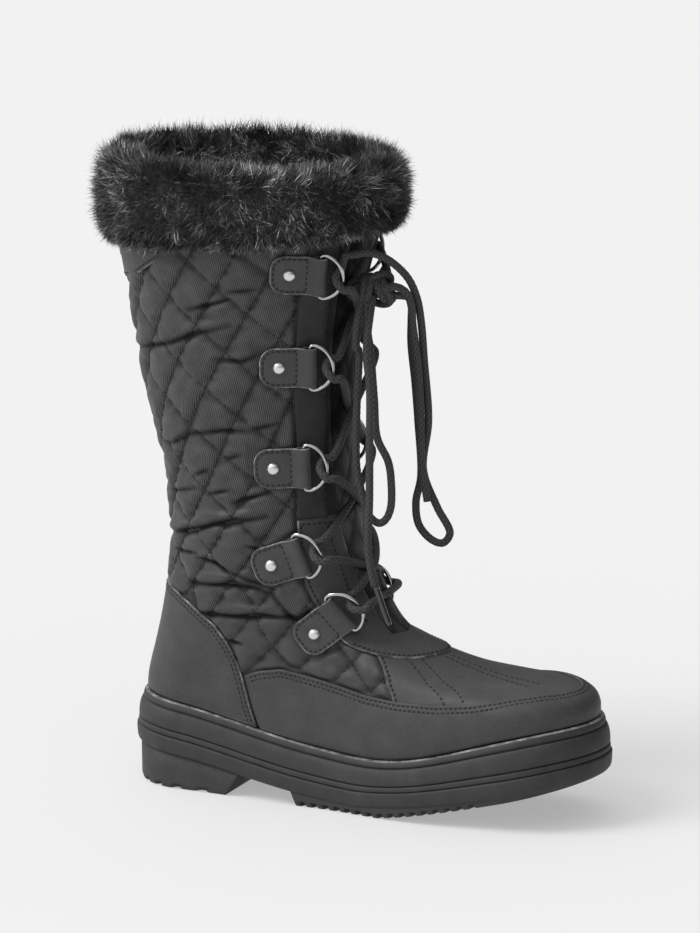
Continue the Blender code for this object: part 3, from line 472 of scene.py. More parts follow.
def toward(t, v, target):
    """Steps and rows of the surface points nearest to target, from a start close by."""
    for _ in range(4):
        left = target - boot(t, v)
        a, b = slopes(t, v)
        aa, ab, bb = (a * a).sum(-1), (a * b).sum(-1), (b * b).sum(-1)
        ar, br = (a * left).sum(-1), (b * left).sum(-1)
        det = aa * bb - ab * ab
        t, v = t + (ar * bb - br * ab) / det, v + (br * aa - ar * ab) / det
        v = np.clip(v, 0.02, TOP_ROW - 0.02)
    return t, v


def inset_line(t, v, distance):
    """A line on the surface moved sideways to its left as seen from outside."""
    points = boot(t, v)
    side = unit(np.cross(boot_normal(t, v), np.gradient(points, axis=0)))
    return toward(t, v, points + side * distance)


def spread(t, v, count):
    """A line on the surface with evenly spaced points."""
    run = run_along(boot(t, v))
    at = np.linspace(0, run[-1], count)
    return np.interp(at, run, t), np.interp(at, run, v)


def arc_table():
    points = boot(*np.meshgrid(ARC_T, ARC_V))
    step = np.linalg.norm(np.diff(points, axis=1), axis=2)
    return np.concatenate([np.zeros((len(ARC_V), 1)), np.cumsum(step, axis=1)], axis=1)


ARC_T, ARC_V = np.linspace(0.0, 0.5, 513), np.linspace(0.0, TOP_ROW, 281)
ARC = arc_table()


def from_back(t):
    """Steps from the back, the same on both sides."""
    return np.abs((t + 0.5) % 1.0 - 0.5)


def arc(t, v):
    """Distance round the ring from the back, the same on both sides."""
    t, v = floats(t, v)
    i = from_back(t) / 0.5 * (len(ARC_T) - 1.0)
    j = np.clip(v, 0, TOP_ROW) / TOP_ROW * (len(ARC_V) - 1.0)
    i0, j0 = np.minimum(i.astype(int), len(ARC_T) - 2), np.minimum(j.astype(int), len(ARC_V) - 2)
    fi, fj = i - i0, j - j0
    low = ARC[j0, i0] * (1 - fi) + ARC[j0, i0 + 1] * fi
    high = ARC[j0 + 1, i0] * (1 - fi) + ARC[j0 + 1, i0 + 1] * fi
    return low * (1 - fj) + high * fj


def make(name, points, faces, looks, nodes=(), uv=None, shade=None, look_of=None, weld=False):
    """One piece on the root body from points in millimetres and arrays of faces."""
    mesh = bpy.data.meshes.new(name)
    blocks = [np.asarray(block, int) for block in faces if len(block)]
    loops = np.concatenate([block.ravel() for block in blocks])
    sizes = np.concatenate([np.full(len(block), block.shape[1]) for block in blocks])
    starts = np.concatenate([[0], np.cumsum(sizes)[:-1]])
    mesh.vertices.add(len(points))
    mesh.vertices.foreach_set("co", (np.asarray(points, float) * MM).ravel())
    mesh.loops.add(len(loops))
    mesh.loops.foreach_set("vertex_index", loops)
    mesh.polygons.add(len(sizes))
    mesh.polygons.foreach_set("loop_start", starts)
    for look in looks:
        mesh.materials.append(LOOKS[look])
    if look_of is not None:
        mesh.polygons.foreach_set("material_index", np.asarray(look_of, int))
    mesh.update(calc_edges=True)
    if uv is not None:
        mesh.uv_layers.new(name="UVMap").data.foreach_set("uv", np.asarray(uv, float)[loops].ravel())
    if shade is not None:
        mesh.attributes.new("shade", "FLOAT", "POINT").data.foreach_set("value", np.asarray(shade, float))
    if weld:
        work = bmesh.new()
        work.from_mesh(mesh)
        bmesh.ops.remove_doubles(work, verts=work.verts, dist=1e-6)
        bmesh.ops.recalc_face_normals(work, faces=work.faces)
        work.to_mesh(mesh)
        work.free()
    mesh.polygons.foreach_set("use_smooth", np.ones(len(mesh.polygons), bool))
    piece = bpy.data.objects.new(name, mesh)
    bpy.context.scene.collection.objects.link(piece)
    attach(piece, "root")
    if nodes:
        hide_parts(*nodes)
    return piece


def grid_faces(rows, cols, wrap=False, keep=None):
    j, i = np.meshgrid(np.arange(rows - 1), np.arange(cols if wrap else cols - 1), indexing="ij")
    n = (i + 1) % cols
    quads = np.stack([j * cols + i, j * cols + n, (j + 1) * cols + n, (j + 1) * cols + i], -1)
    return quads[keep] if keep is not None else quads.reshape(-1, 4)


def rim_edges(quads, count):
    a, b = quads.ravel(), np.roll(quads, -1, axis=1).ravel()
    lone = ~np.isin(a * count + b, b * count + a)
    return a[lone], b[lone]


# Pairs of points measured at a time.
RIM_BATCH = 4000000


def rim_distance(points, rim):
    best = np.full(len(points), 1e9)
    for part in np.array_split(np.arange(len(points)), max(1, len(points) * len(rim) // RIM_BATCH)):
        gaps = points[part][:, None, :] - rim[None, :, :]
        best[part] = np.sqrt((gaps ** 2).sum(-1).min(1))
    return best


def closed_sheet(inner, outer, quads):
    """Points and faces of a sheet with its two sides and its rim."""
    count = len(outer)
    a, b = rim_edges(quads, count)
    rim = np.stack([b, a, a + count, b + count], -1)
    return np.concatenate([outer, inner]), [quads, quads[:, ::-1] + count, rim]


# Row under which a panel's edge lies in the sole's lip; width of the cut edge; its share of the full height.
EDGE_FROM, EDGE_WIDE, EDGE_HIGH = 0.3, 0.42, 0.25
GROOVE_DEEP, GROOVE_WIDE = 0.28, 0.45


def bulged(gap, soft):
    """Round shoulder that reaches 1 at soft millimetres from a rim."""
    return np.sqrt(1.0 - (1.0 - np.minimum(gap / soft, 1.0)) ** 2)


def panel(name, t, v, low, high, look, slot, nodes=(), keep=None, grooves=(), soft=0.9, edge_look="cut_edge"):
    """Leather cut: a sheet over the upper with a rounded, pale cut edge and stitch grooves."""
    quads = grid_faces(*t.shape, keep=keep)
    base, normal = boot(t, v).reshape(-1, 3), boot_normal(t, v).reshape(-1, 3)
    gap = rim_distance(base, base[rim_edges(quads, len(base))[0]])
    low, high = np.broadcast_to(low, t.shape).ravel(), np.broadcast_to(high, t.shape).ravel()
    rise = low + (high - low) * (EDGE_HIGH + (1.0 - EDGE_HIGH) * bulged(gap, soft))
    for groove in grooves:
        rise = rise - GROOVE_DEEP * np.exp(-((gap - groove) / GROOVE_WIDE) ** 2)
    outer, inner = base + rise[:, None] * normal, base + low[:, None] * normal
    points, faces = closed_sheet(inner, outer, quads)
    open_edge = v.ravel() > EDGE_FROM
    edge = (gap[quads].mean(1) < EDGE_WIDE) & open_edge[quads].all(1)
    look_of = np.concatenate([edge, np.zeros(len(quads)), open_edge[faces[2] % len(base)].all(1)])
    make(name, points, faces, (look, edge_look), nodes, look_of=look_of, weld=True)


def between(first, second, fractions):
    """Grid of steps and rows between two lines of equal count."""
    f = np.asarray(fractions, float)[:, None]
    return first[0] * (1 - f) + second[0] * f, first[1] * (1 - f) + second[1] * f


# Last points of a panel's grid, in millimetres from its edge.
EDGE_POINTS = (5, 4, 3.2, 2.5, 1.9, 1.4, 1.0, 0.65, 0.4, 0.2, 0.08, 0)


def to_edge(count, width):
    """Fractions from 0 to 1 that crowd near 1, for a strip about width across."""
    tail = 1.0 - np.array(EDGE_POINTS) / width
    return np.concatenate([np.linspace(0, tail[0], count)[:-1], tail])


# Quilting: slope of each family of stitch lines over the cloth, pitch in height, height of the first line.
QUILT = ((0.93, 38.1, 385.3), (-1.28, 32.85, 198.1))
QUILT_HIGH, QUILT_DIP = 3.5, 0.75
# How softly a cell rises from the line over it and from the line under it.
QUILT_SOFT = (4.8, 2.0)
# Puckers beside the stitches: height, reach from the line, length.
PUCKER = (0.5, 3.6, 7.4)
# Swells and small drags of the cloth: height, waves round, waves up, phase.
DRAGS = ((.25, .11, .05, 0.0), (.2, -.06, .13, 0.0), (.16, .09, .42, .3), (.14, -.12, .55, 1.9),
         (.13, .21, .34, 4.0), (.12, -.05, .71, 2.6), (.10, .33, .25, 5.2), (.10, .15, .88, 0.8),
         (.09, -.28, .47, 3.3))
# The first family's lines lie lower on the foot: share of their pitch, height it starts at, span.
LOW_SHIFT, LOW_FROM, LOW_SPAN = 0.45, 125.0, 35.0
# Front limit of the quilted cloth: row, step.
CLOTH_FRONT = ((0, .27), (3.5, .300), (4.55, .313), (5.6, .335), (6.38, .352), (6.6, .349), (7.0, .331),
               (8.6, .337), (9.1, .337), (10.45, .354), (11.5, .370), (13.2, .374), (14, .374))
# Creases as (distance round from the back, height) points, then depth and width.
CREASES = (
    (((18, 247), (47.4, 253.6), (64.8, 258.6), (80.2, 264.8), (104.3, 272.1)), 1.9, 1.3),
    (((81.1, 278.9), (106.8, 286.5)), 1.5, 1.1),
    (((107, 290.9), (121.4, 293.3)), 1.4, 1.1),
    (((91.9, 251.9), (106.1, 251.9), (117.9, 257)), 1.6, 1.2),
    (((58.7, 206.7), (84.8, 212.1), (99.2, 212.1)), 1.7, 1.3),
    (((101.6, 213.5), (116.2, 217.4)), 1.3, 1.1),
    (((80.7, 195.6), (90.8, 199.4)), 1.2, 1.0),
    (((25.7, 169.1), (53.7, 175.7)), 1.4, 1.2),
    (((63.3, 174.1), (77.2, 178)), 1.2, 1.0),
    (((78.1, 170.7), (99.3, 178.3)), 1.5, 1.1),
    (((13.5, 142.4), (45.3, 150.2), (64.8, 157.4), (95.6, 164.2)), 2.7, 1.6),
    (((41.3, 118.8), (71.6, 123.8), (84.1, 123), (95.3, 119.6)), 3.0, 1.7),
    (((50.2, 102.3), (64.9, 104), (91, 106.9), (105.1, 106.9)), 3.0, 1.7),
    (((57.4, 184.2), (66.8, 188.2)), 1.2, 1.0),
    (((24.7, 134.8), (49.2, 138.1)), 1.6, 1.2),
    (((49, 135.5), (60.9, 134.7), (73.1, 129.8)), 2.0, 1.3),
    (((74.2, 129.8), (85.7, 126), (95.9, 123)), 2.4, 1.4),
    (((103.9, 108), (112.6, 105.9), (116.5, 111.5)), 2.6, 1.5),
    (((95.8, 118.1), (104, 109), (110.6, 105.6)), 2.4, 1.4),
    (((68.4, 88.2), (76.6, 88.6)), 1.4, 1.1),
    (((28.1, 196.9), (46.6, 200.2), (58.3, 206)), 1.4, 1.2),
    (((82.4, 146.9), (88, 145.3)), 1.2, 1.0),
)
# Where the inner side's creases lie against those of the outer side: round, up.
MEDIAL_MOVE = (5.0, -9.0)
# Profile of a crease in its own widths: place, widths and heights of the ridges beside it, its trough.
RIDGE_AT, RIDGE_WIDE, RIDGE_HIGH, TROUGH_WIDE = 2.3, (1.5, 1.4), (0.6, 0.2), 0.9
# Gain of all creases, what is left of one at its ends, place and width of the painted shade in it.
CREASE_GAIN, CREASE_END, PAINTED_SHADE_AT, PAINTED_SHADE_WIDE = 1.3, 0.45, 0.4, 1.2
# Height and length within which the counter bounds the cloth; the last step with cloth.
COUNTER_HIGH, COUNTER_LONG, CLOTH_LAST = 117.0, 40.0, 0.45
# The cloth falls to the panels over a margin, stays low under a tab and rises over a margin beside it.
CLOTH_FALL, UNDER_TAB, BESIDE_TAB, TAB_MARGIN = 2.6, 0.35, 2.0, 5.0
# Painted shade: tone in the valleys between the cells; painted shade in creases; painted shadow beside the
# stay, its first row and its width.
VALLEY_SHADE_TONE, CREASE_PAINTED_SHADE, FRONT_PAINTED_SHADOW, FRONT_FROM, FRONT_FALL = 0.56, 0.88, 0.6, 8.6, 5.0
# Seam between the stay and the strip of padding at the throat: row, step.
STAY_LINE = ((8.2, .404), (9.1, .406), (9.6, .411), (10.75, .407), (11.5, .417), (11.75, .424), (13.15, .415),
             (14, .415))
# The padding: height, cell, first row and rows to rise over, steps to rise over; its painted shade and that
# shade's edge.
STRIP_HIGH, STRIP_CELL, STRIP_FROM, STRIP_RISE, STRIP_EDGE = 1.0, 27.0, 10.5, 0.4, 0.012
STRIP_PAINTED_SHADE, STRIP_SHADE_EDGE = 0.75, 0.006


def quilt_phase(s, z, family):
    slope, pitch, first = QUILT[family]
    phase = (first - z - slope * s) / pitch
    return phase - (LOW_SHIFT * smooth((LOW_FROM - z) / LOW_SPAN) if family == 0 else 0.0)


def quilt_gap(s, z, family):
    """Distance to the nearest stitch line of a family."""
    slope, pitch, _ = QUILT[family]
    phase = quilt_phase(s, z, family)
    return np.abs(phase - np.round(phase)) * pitch / math.hypot(1.0, slope)


def cloth_margin(t, v, point, s):
    """Distance inside the quilted cloth from the panels round it."""
    x, z = point[..., 0], point[..., 2]
    margin = np.minimum(arc(column(CLOTH_FRONT, v), v) - s, z - column(MUDGUARD_EDGE, x))
    beyond = np.minimum(margin, x - column(COUNTER_EDGE, z))
    margin = np.where((z < COUNTER_HIGH) & (x < COUNTER_LONG), beyond, margin)
    return np.where(from_back(t) > CLOTH_LAST, -1.0, margin)


def crease_out(s, z, medial):
    """Folds: a sharp trough with a full ridge over it and a low one under it; and the painted shade in its
    trough.
    """
    out, dark = np.zeros(s.shape), np.zeros(s.shape)
    s, z = s - np.where(medial, MEDIAL_MOVE[0], 0.0), z - np.where(medial, MEDIAL_MOVE[1], 0.0)
    for line, depth, width in CREASES:
        line = np.array(line, float)
        best, at = np.full(s.shape, 1e9), np.zeros(s.shape)
        for k in range(len(line) - 1):
            a, d = line[k], line[k + 1] - line[k]
            f = np.clip(((s - a[0]) * d[0] + (z - a[1]) * d[1]) / (d @ d), 0.0, 1.0)
            gap = np.hypot(s - a[0] - f * d[0], z - a[1] - f * d[1])
            gap = np.copysign(gap, d[0] * (z - a[1]) - d[1] * (s - a[0]))
            near = np.abs(gap) < np.abs(best)
            best, at = np.where(near, gap, best), np.where(near, (k + f) / (len(line) - 1), at)
        taper = CREASE_END + (1.0 - CREASE_END) * np.sin(np.pi * at)
        place = best / width
        ridges = -np.exp(-np.abs(place) / TROUGH_WIDE)
        for way, wide, high in zip((-1.0, 1.0), RIDGE_WIDE, RIDGE_HIGH):
            ridges = ridges + high * np.exp(-((place + way * RIDGE_AT) / wide) ** 2)
        out += CREASE_GAIN * depth * taper * ridges
        dark = np.maximum(dark, taper * np.exp(-((place - PAINTED_SHADE_AT) / PAINTED_SHADE_WIDE) ** 2))
    return out, dark


def pucker_out(s, z):
    """Short waves across the stitch lines, swells and slight drags in the cloth."""
    high, wide, long = PUCKER
    out = np.zeros(s.shape)
    for family, row in enumerate(QUILT):
        slope = row[0]
        run = (s - slope * z) / math.hypot(1.0, slope)
        shift = 1.7 * np.sin(0.11 * run + 2.3 * np.round(quilt_phase(s, z, family)))
        wave = np.sin(2 * np.pi * run / long + shift) * (0.6 + 0.4 * np.sin(0.07 * run + 0.05 * s))
        out += high * wave * np.exp(-quilt_gap(s, z, family) / wide)
    for size, across, up, phase in DRAGS:
        out += size * np.sin(across * s + up * z + phase)
    return out


def cloth_out(t, v):
    """How far the quilted cloth stands off the upper's surface, and its tone with painted shade in valleys,
    creases, beside the stay and on the strip at the throat.
    """
    t, v = floats(t, v)
    point, s, side = boot(t, v), arc(t, v), from_back(t)
    z = point[..., 2]
    puff = np.ones(s.shape)
    for family, (slope, pitch, _) in enumerate(QUILT):
        part = quilt_phase(s, z, family) % 1.0
        long = pitch / math.hypot(1.0, slope)
        for share, soft in zip((part, 1.0 - part), QUILT_SOFT):
            puff = puff * (1.0 - np.exp(-share * long / soft))
    inside = smooth(cloth_margin(t, v, point, s) / CLOTH_FALL)
    fold, dark = crease_out(s, z, t % 1.0 > 0.5)
    out = (QUILT_HIGH * puff - QUILT_DIP + pucker_out(s, z) + fold) * inside
    for tab in TAB_SPOTS:
        a, b = tab.local(point)
        beside = np.maximum(np.maximum(TAB_BACK - a, a - TAB_FOLD - 2.0), np.abs(b) - TAB_HALF)
        out = np.minimum(out, UNDER_TAB + BESIDE_TAB * smooth(beside / TAB_MARGIN))
    past = side - column(STAY_LINE, v)
    strip = smooth(np.minimum(past, 0.5 * THROAT_STEP - side) / STRIP_EDGE)
    strip = strip * smooth((v - STRIP_FROM) / STRIP_RISE) * np.abs(np.sin(np.pi * z / STRIP_CELL)) ** 0.6
    out = np.where(inside > 0, out, 0.0) + STRIP_HIGH * strip
    # Painted shade: the tone drops in the valleys between cells, in creases and within a margin beside the
    # stay.
    tone = VALLEY_SHADE_TONE + (1.0 - VALLEY_SHADE_TONE) * smooth((out + QUILT_DIP) / (2 * QUILT_DIP))
    ahead = arc(column(CLOTH_FRONT, v), v) - s
    # Painted shade along the creases.
    tone = tone * (1.0 - CREASE_PAINTED_SHADE * dark)
    # Painted shadow of the cloth's overhang along the stay's edge.
    tone = tone * (1.0 - FRONT_PAINTED_SHADOW * (v > FRONT_FROM) * (1.0 - smooth(ahead / FRONT_FALL)))
    # Painted shade over the padding strip past the stay line, deep in the throat.
    seam = smooth(past / STRIP_SHADE_EDGE) * (v > STRIP_FROM)
    return out, np.where(inside > 0, tone, 1.0) * (1.0 - STRIP_PAINTED_SHADE * seam)


# Stitches: pitch, length, thickness.
SEAM_STITCH, QUILT_STITCH, TAB_STITCH = (2.75, 2.1, 0.46), (2.9, 2.0, 0.36), (2.9, 2.15, 0.34)
COUNTER_STITCH, GUARD_STITCH, DECOR_STITCH = (2.7, 2.0, 0.36), (2.8, 2.05, 0.38), (3.1, 2.2, 0.36)
# A stitch's rod: half length of its straight part as a share, width against its thickness.
ROD_FLAT, ROD_WIDE = 0.36, 1.25
STITCHES = []


def sew(t, v, out, stitch=SEAM_STITCH):
    """Dashes of thread along a line of steps and rows."""
    t, v = np.asarray(t, float), np.asarray(v, float)
    dashes(skin(t, v, out), boot_normal(t, v), *stitch)


def dashes(points, normals, pitch, long, thick):
    run = run_along(points)
    count = int(run[-1] / pitch)
    if count < 1:
        return
    at = (np.arange(count) + 0.5) * run[-1] / count

    def along_run(values, where):
        return np.stack([np.interp(where, run, values[:, k]) for k in range(3)], -1)

    ahead = unit(along_run(points, at + 0.5 * long) - along_run(points, at - 0.5 * long))
    sizes = np.full((count, 1), long), np.full((count, 1), thick)
    STITCHES.append((along_run(points, at), ahead, along_run(normals, at), *sizes))


def sewing(name):
    """All dashes as one piece: four-sided rods whose ends dip into the cloth."""
    centre, ahead, normal, long, thick = (np.concatenate([row[k] for row in STITCHES]) for k in range(5))
    side = unit(np.cross(normal, ahead)) * ROD_WIDE
    rings = []
    for end in (-ROD_FLAT, ROD_FLAT):
        for way in (side, normal, -side, -normal):
            rings.append(centre + ahead * (end * long) + way * thick)
    for end in (-0.5, 0.5):
        rings.append(centre + ahead * (end * long) - normal * thick)
    ring = [(k, (k + 1) % 4) for k in range(4)]
    quads = np.array([[a, b, 4 + b, 4 + a] for a, b in ring])
    tips = np.array([[8, b, a] for a, b in ring] + [[9, 4 + a, 4 + b] for a, b in ring])
    first = np.arange(len(centre))[:, None, None] * len(rings)
    faces = [(quads + first).reshape(-1, 4), (tips + first).reshape(-1, 3)]
    make(name, np.stack(rings, 1).reshape(-1, 3), faces, ("thread",))


class Tab:
    """Local map of one ring tab: length a toward the throat, width b, height h, in millimetres."""

    def __init__(self, row, mirror):
        x, z, turn, self.lift = row
        back = MEDIAL_BACK if mirror < 0 else 0.0
        low, high = 5.0, TOP_ROW
        for _ in range(30):
            v = 0.5 * (low + high)
            t = float(step_where(v, lambda p: p[..., 0] - x + back, 0.1, 0.5))
            low, high = (low, v) if boot(t, v)[2] > z else (v, high)
        self.spot, self.mirror = (t, v), mirror
        self.tilt = math.radians(RING_TILT[mirror < 0])
        self.origin, normal = boot(t, v), boot_normal(np.array(t), np.array(v))
        level, turn = unit(np.cross((0.0, 0.0, 1.0), normal)), math.radians(turn)
        self.ahead = math.cos(turn) * level + math.sin(turn) * np.cross(normal, level)
        self.across = np.cross(normal, self.ahead)

    def local(self, point):
        """Length and width of points on the tab's own side, far off on the other."""
        there = point * (1.0, self.mirror, 1.0) - self.origin
        away = np.where(point[..., 1] * self.mirror > 0, 1e3, 0.0)
        return there @ self.ahead + away, there @ self.across

    def on_surface(self, a, b):
        """Steps and rows of the points a ahead and b across, as seen square on."""
        t, v = np.full(a.shape, self.spot[0]), np.full(a.shape, self.spot[1])
        for _ in range(8):
            offset = boot(t, v) - self.origin
            round_slope, up_slope = slopes(t, v)
            m00, m01 = round_slope @ self.ahead, up_slope @ self.ahead
            m10, m11 = round_slope @ self.across, up_slope @ self.across
            ea, eb = a - offset @ self.ahead, b - offset @ self.across
            det = m00 * m11 - m01 * m10
            t, v = t + (ea * m11 - eb * m01) / det, v + (eb * m00 - ea * m10) / det
            v = np.minimum(v, TOP_ROW - 0.01)
        return t, v

    def point(self, a, b, h):
        """Follow the surface up to the fold, then straight on along its tangent."""
        a, b, h = floats(a, b, h)
        held = np.minimum(a, TAB_FOLD - 3.0)
        t, v = self.on_surface(held, b)
        normal = boot_normal(t, v)
        onward = unit(self.ahead - normal * (normal @ self.ahead)[..., None])
        place = boot(t, v) + normal * h[..., None] + onward * (a - held)[..., None]
        return place * (1.0, self.mirror, 1.0)


SIDES = (("lateral", 1.0), ("medial", -1.0))
TAB_MAP = {(word, k): Tab(row, mirror) for word, mirror in SIDES for k, row in enumerate(TABS)}
for k in FLAT_RINGS:
    TAB_MAP["medial", k].tilt = math.radians(FLAT_TILT)
TAB_SPOTS = list(TAB_MAP.values())


# Fine grid of the upper: columns, and rows as (first row, last row, count); the lining takes every fourth.
SHELL_COLS, SHELL_SKIP = 320, 4
SHELL_ROWS = ((0, 2, 8), (2, 8, 80), (8, 14, 208))
LINING_DEEP = 2.2


def upper_shell():
    """Quilted cloth outside, fleece inside, open at the collar, the throat and underneath."""
    rows = [np.linspace(first, last, count, endpoint=False) for first, last, count in SHELL_ROWS]
    rows = np.concatenate(rows + [[TOP_ROW]])
    t, v = np.meshgrid(np.arange(SHELL_COLS) / SHELL_COLS, rows)

    def kept(v_of, cols):
        j, i = np.meshgrid(v_of[:-1], np.arange(cols) / cols, indexing="ij")
        return (j < THROAT_ROW) | (i < THROAT_STEP / 2) | (i >= 1.0 - THROAT_STEP / 2)

    out, tone = cloth_out(t, v)
    outer = skin(t, v, out)
    quads = grid_faces(len(rows), SHELL_COLS, True, kept(rows, SHELL_COLS))
    few, cols = rows[::SHELL_SKIP], SHELL_COLS // SHELL_SKIP
    inner = skin(t[::SHELL_SKIP, ::SHELL_SKIP], v[::SHELL_SKIP, ::SHELL_SKIP], -LINING_DEEP)
    lining = grid_faces(len(few), cols, True, kept(few, cols))
    count = outer[..., 0].size
    rim = []
    for a, b in zip(*rim_edges(lining, inner[..., 0].size)):
        ja, ia, jb, ib = a // cols, a % cols, b // cols, b % cols
        turn = (ib - ia + cols // 2) % cols - cols // 2
        line = []
        for k in range(SHELL_SKIP + 1):
            row = ja * SHELL_SKIP + k * (jb - ja)
            line.append(row * SHELL_COLS + (ia * SHELL_SKIP + k * turn) % SHELL_COLS)
        rim.append(line[::-1] + [a + count, b + count])
    points = np.concatenate([outer.reshape(-1, 3), inner.reshape(-1, 3)])
    look_of = np.concatenate([np.zeros(len(quads)), np.ones(len(lining)), np.zeros(len(rim))])
    uv = np.stack([arc(t, v), boot(t, v)[..., 2]], -1).reshape(-1, 2)
    uv = np.concatenate([uv, np.zeros((len(points) - len(uv), 2))])
    # The cloth's tone carries its painted shade; the lining gets none.
    tone = np.concatenate([tone.ravel(), np.ones(len(points) - count)])
    make("quilted_upper", points, [quads, lining[:, ::-1] + count, np.array(rim)], ("nylon", "fleece"),
         ("upper",), uv=uv, shade=tone, look_of=look_of)


# Where the stitch lines are looked for: rows and steps; least margin and least count of rows of a line.
QUILT_ROWS, QUILT_STEPS = (3.0, 13.9, 520), (0.0, 0.385, 420)
LINE_MARGIN, LINE_LEAST = 1.2, 8


def quilt_stitches():
    rows, steps = np.linspace(*QUILT_ROWS), np.linspace(*QUILT_STEPS)
    t, v = np.meshgrid(steps, rows)
    point, s = boot(t, v), arc(t, v)
    margin = cloth_margin(t, v, point, s)
    for family in (0, 1):
        phase = quilt_phase(s, point[..., 2], family)
        for line in range(int(phase.min()), int(phase.max()) + 1):
            ahead = np.diff(np.sign(phase - line), axis=1) != 0
            hit = ahead.any(1)
            i = ahead.argmax(1)
            j = np.arange(len(rows))
            f = (line - phase[j, i]) / np.where(hit, phase[j, i + 1] - phase[j, i], 1.0)
            at = steps[i] + f * (steps[1] - steps[0])
            good = hit & (margin[j, i] > LINE_MARGIN)
            edges = np.flatnonzero(np.diff(np.concatenate([[0], good.astype(int), [0]])))
            for a, b in zip(edges[::2], edges[1::2]):
                if b - a < LINE_LEAST:
                    continue
                for mirror in (1.0, -1.0):
                    across = mirror * at[a:b]
                    sew(across, rows[a:b], cloth_out(across, rows[a:b])[0] + 0.25, QUILT_STITCH)


COUNTER_STITCHES = (1.7, 3.9)
GUARD_STITCHES = (1.9, 4.1)
PANEL_HIGH = PANEL_GAP + PANEL_THICK


def ahead_of_counter(point):
    return point[..., 0] - column(COUNTER_EDGE, point[..., 2])


def over_guard(point):
    return point[..., 2] - column(MUDGUARD_EDGE, point[..., 0])


def mirrored(t, other, v):
    """A line up one side and back down the other, whose steps are other."""
    return np.concatenate([t, other[-2::-1]]), np.concatenate([v, v[-2::-1]])


def counter():
    low_rows = np.linspace(0.0, 5.5, 30)
    low_steps = step_where(low_rows, ahead_of_counter, 0.0, 0.45)
    high_steps = np.linspace(low_steps[-1], 0.0, 30)[1:]
    high_rows = row_where(high_steps, ahead_of_counter, 3.0, 9.0)
    t, v = spread(np.concatenate([low_steps, high_steps]), np.concatenate([low_rows, high_rows]), 94)
    edge = mirrored(-t, t, v)
    bottom = np.linspace(-t[0], t[0], len(edge[0])), np.zeros(len(edge[0]))
    grid = between(bottom, edge, to_edge(30, 60.0))
    panel("counter_panel", *grid, PANEL_GAP, PANEL_HIGH + 0.2, "leather", "synthetic_leather", ("counter",),
          grooves=COUNTER_STITCHES)
    for distance in COUNTER_STITCHES:
        sew(*inset_line(*edge, -distance), PANEL_HIGH + 0.08, COUNTER_STITCH)


# Steps between the counter and the mudguard.
GUARD_MARGIN = 0.003


def mudguard():
    rise_rows = np.linspace(0.0, 4.0, 40)
    rise_steps = step_where(rise_rows, ahead_of_counter, 0.0, 0.45) + GUARD_MARGIN
    below = over_guard(boot(rise_steps, rise_rows)) < 0
    rise_rows, rise_steps = rise_rows[below], rise_steps[below]
    top_steps = np.linspace(rise_steps[-1], 0.5, 84)[1:]
    top_rows = row_where(top_steps, over_guard, 0.0, 6.5)
    t, v = spread(np.concatenate([rise_steps, top_steps]), np.concatenate([rise_rows, top_rows]), 174)
    edge = mirrored(t, 1.0 - t, v)
    bottom = np.linspace(t[0], 1.0 - t[0], len(edge[0])), np.zeros(len(edge[0]))
    grid = between(bottom, edge, to_edge(16, 36.0))
    panel("mudguard_panel", *grid, PANEL_GAP, PANEL_HIGH, "leather", "synthetic_leather", ("mudguard",),
          grooves=GUARD_STITCHES, edge_look="dull_edge")
    t, v = spread(top_steps, top_rows, 200)
    for distance in GUARD_STITCHES:
        sew(*inset_line(*mirrored(t, 1.0 - t, v), -distance), PANEL_HIGH - 0.12, GUARD_STITCH)


# Vamp: row and step of its side seam; decorative stitch lines as (row, step) points; height.
SEAM = ((2.4, .290), (3.53, .300), (4.55, .313), (5.6, .335), (6.38, .352), (7.3, .375))
DECOR = (((6.28, .387), (4.85, .359), (3.2, .339)), ((6.45, .411), (5.03, .381), (3.23, .357)),
         ((6.5, .464), (5.62, .464), (4.8, .459), (4.0, .452)),
         ((6.5, .487), (5.62, .487), (4.8, .484), (4.0, .480)))
VAMP_HIGH = 0.6
# Columns of the vamp's grid close to its side seam, as shares of its width.
SEAM_POINTS = np.array((0, .002, .005, .01, .018))
# Distance from a seam to the stitches beside it.
BESIDE_SEAM = 1.9


def vamp():
    rows = np.linspace(2.4, 7.2, 54)
    share = np.concatenate([SEAM_POINTS, np.linspace(.03, .97, 84), 1.0 - SEAM_POINTS[::-1]])
    side = column(SEAM, rows)[:, None]
    t, v = side + (1.0 - 2.0 * side) * share, np.repeat(rows[:, None], len(share), 1)
    panel("vamp_panel", t, v, 0.05, VAMP_HIGH, "leather", "synthetic_leather", grooves=(1.8,), soft=0.6)
    rows = np.linspace(3.3, 6.5, 60)
    for mirror in (1.0, -1.0):
        for distance, out in ((-BESIDE_SEAM, VAMP_HIGH - 0.1), (1.6, 0.2)):
            sew(*inset_line(mirror * column(SEAM, rows), rows, mirror * distance), out)
    for line in DECOR:
        line = np.array(line)
        rows = np.linspace(line[0, 0], line[-1, 0], 60)
        sew(np.interp(-rows, -line[:, 0], line[:, 1]), rows, VAMP_HIGH + 0.05, DECOR_STITCH)


# Throat patch: step and row of its lower edge; row and step of its arms' back edge.
PATCH_LOW = ((.325, 7.1), (.331, 7.0), (.35, 6.62), (.367, 6.44), (.395, 6.40), (.441, 6.55), (.5, 6.62))
ARM_BACK = ((6.6, .331), (8.6, .337), (9.1, .337), (10.45, .354), (11.5, .370), (13.2, .374), (14, .374))
# Top row of the arms, their height, and the rows over which the patch thins to it.
ARM_TOP, ARM_HIGH, ARM_FROM, ARM_SPAN = 10.45, 0.6, 7.7, 0.9
STAY_MARGIN, STAY_HIGH = 0.004, 0.75


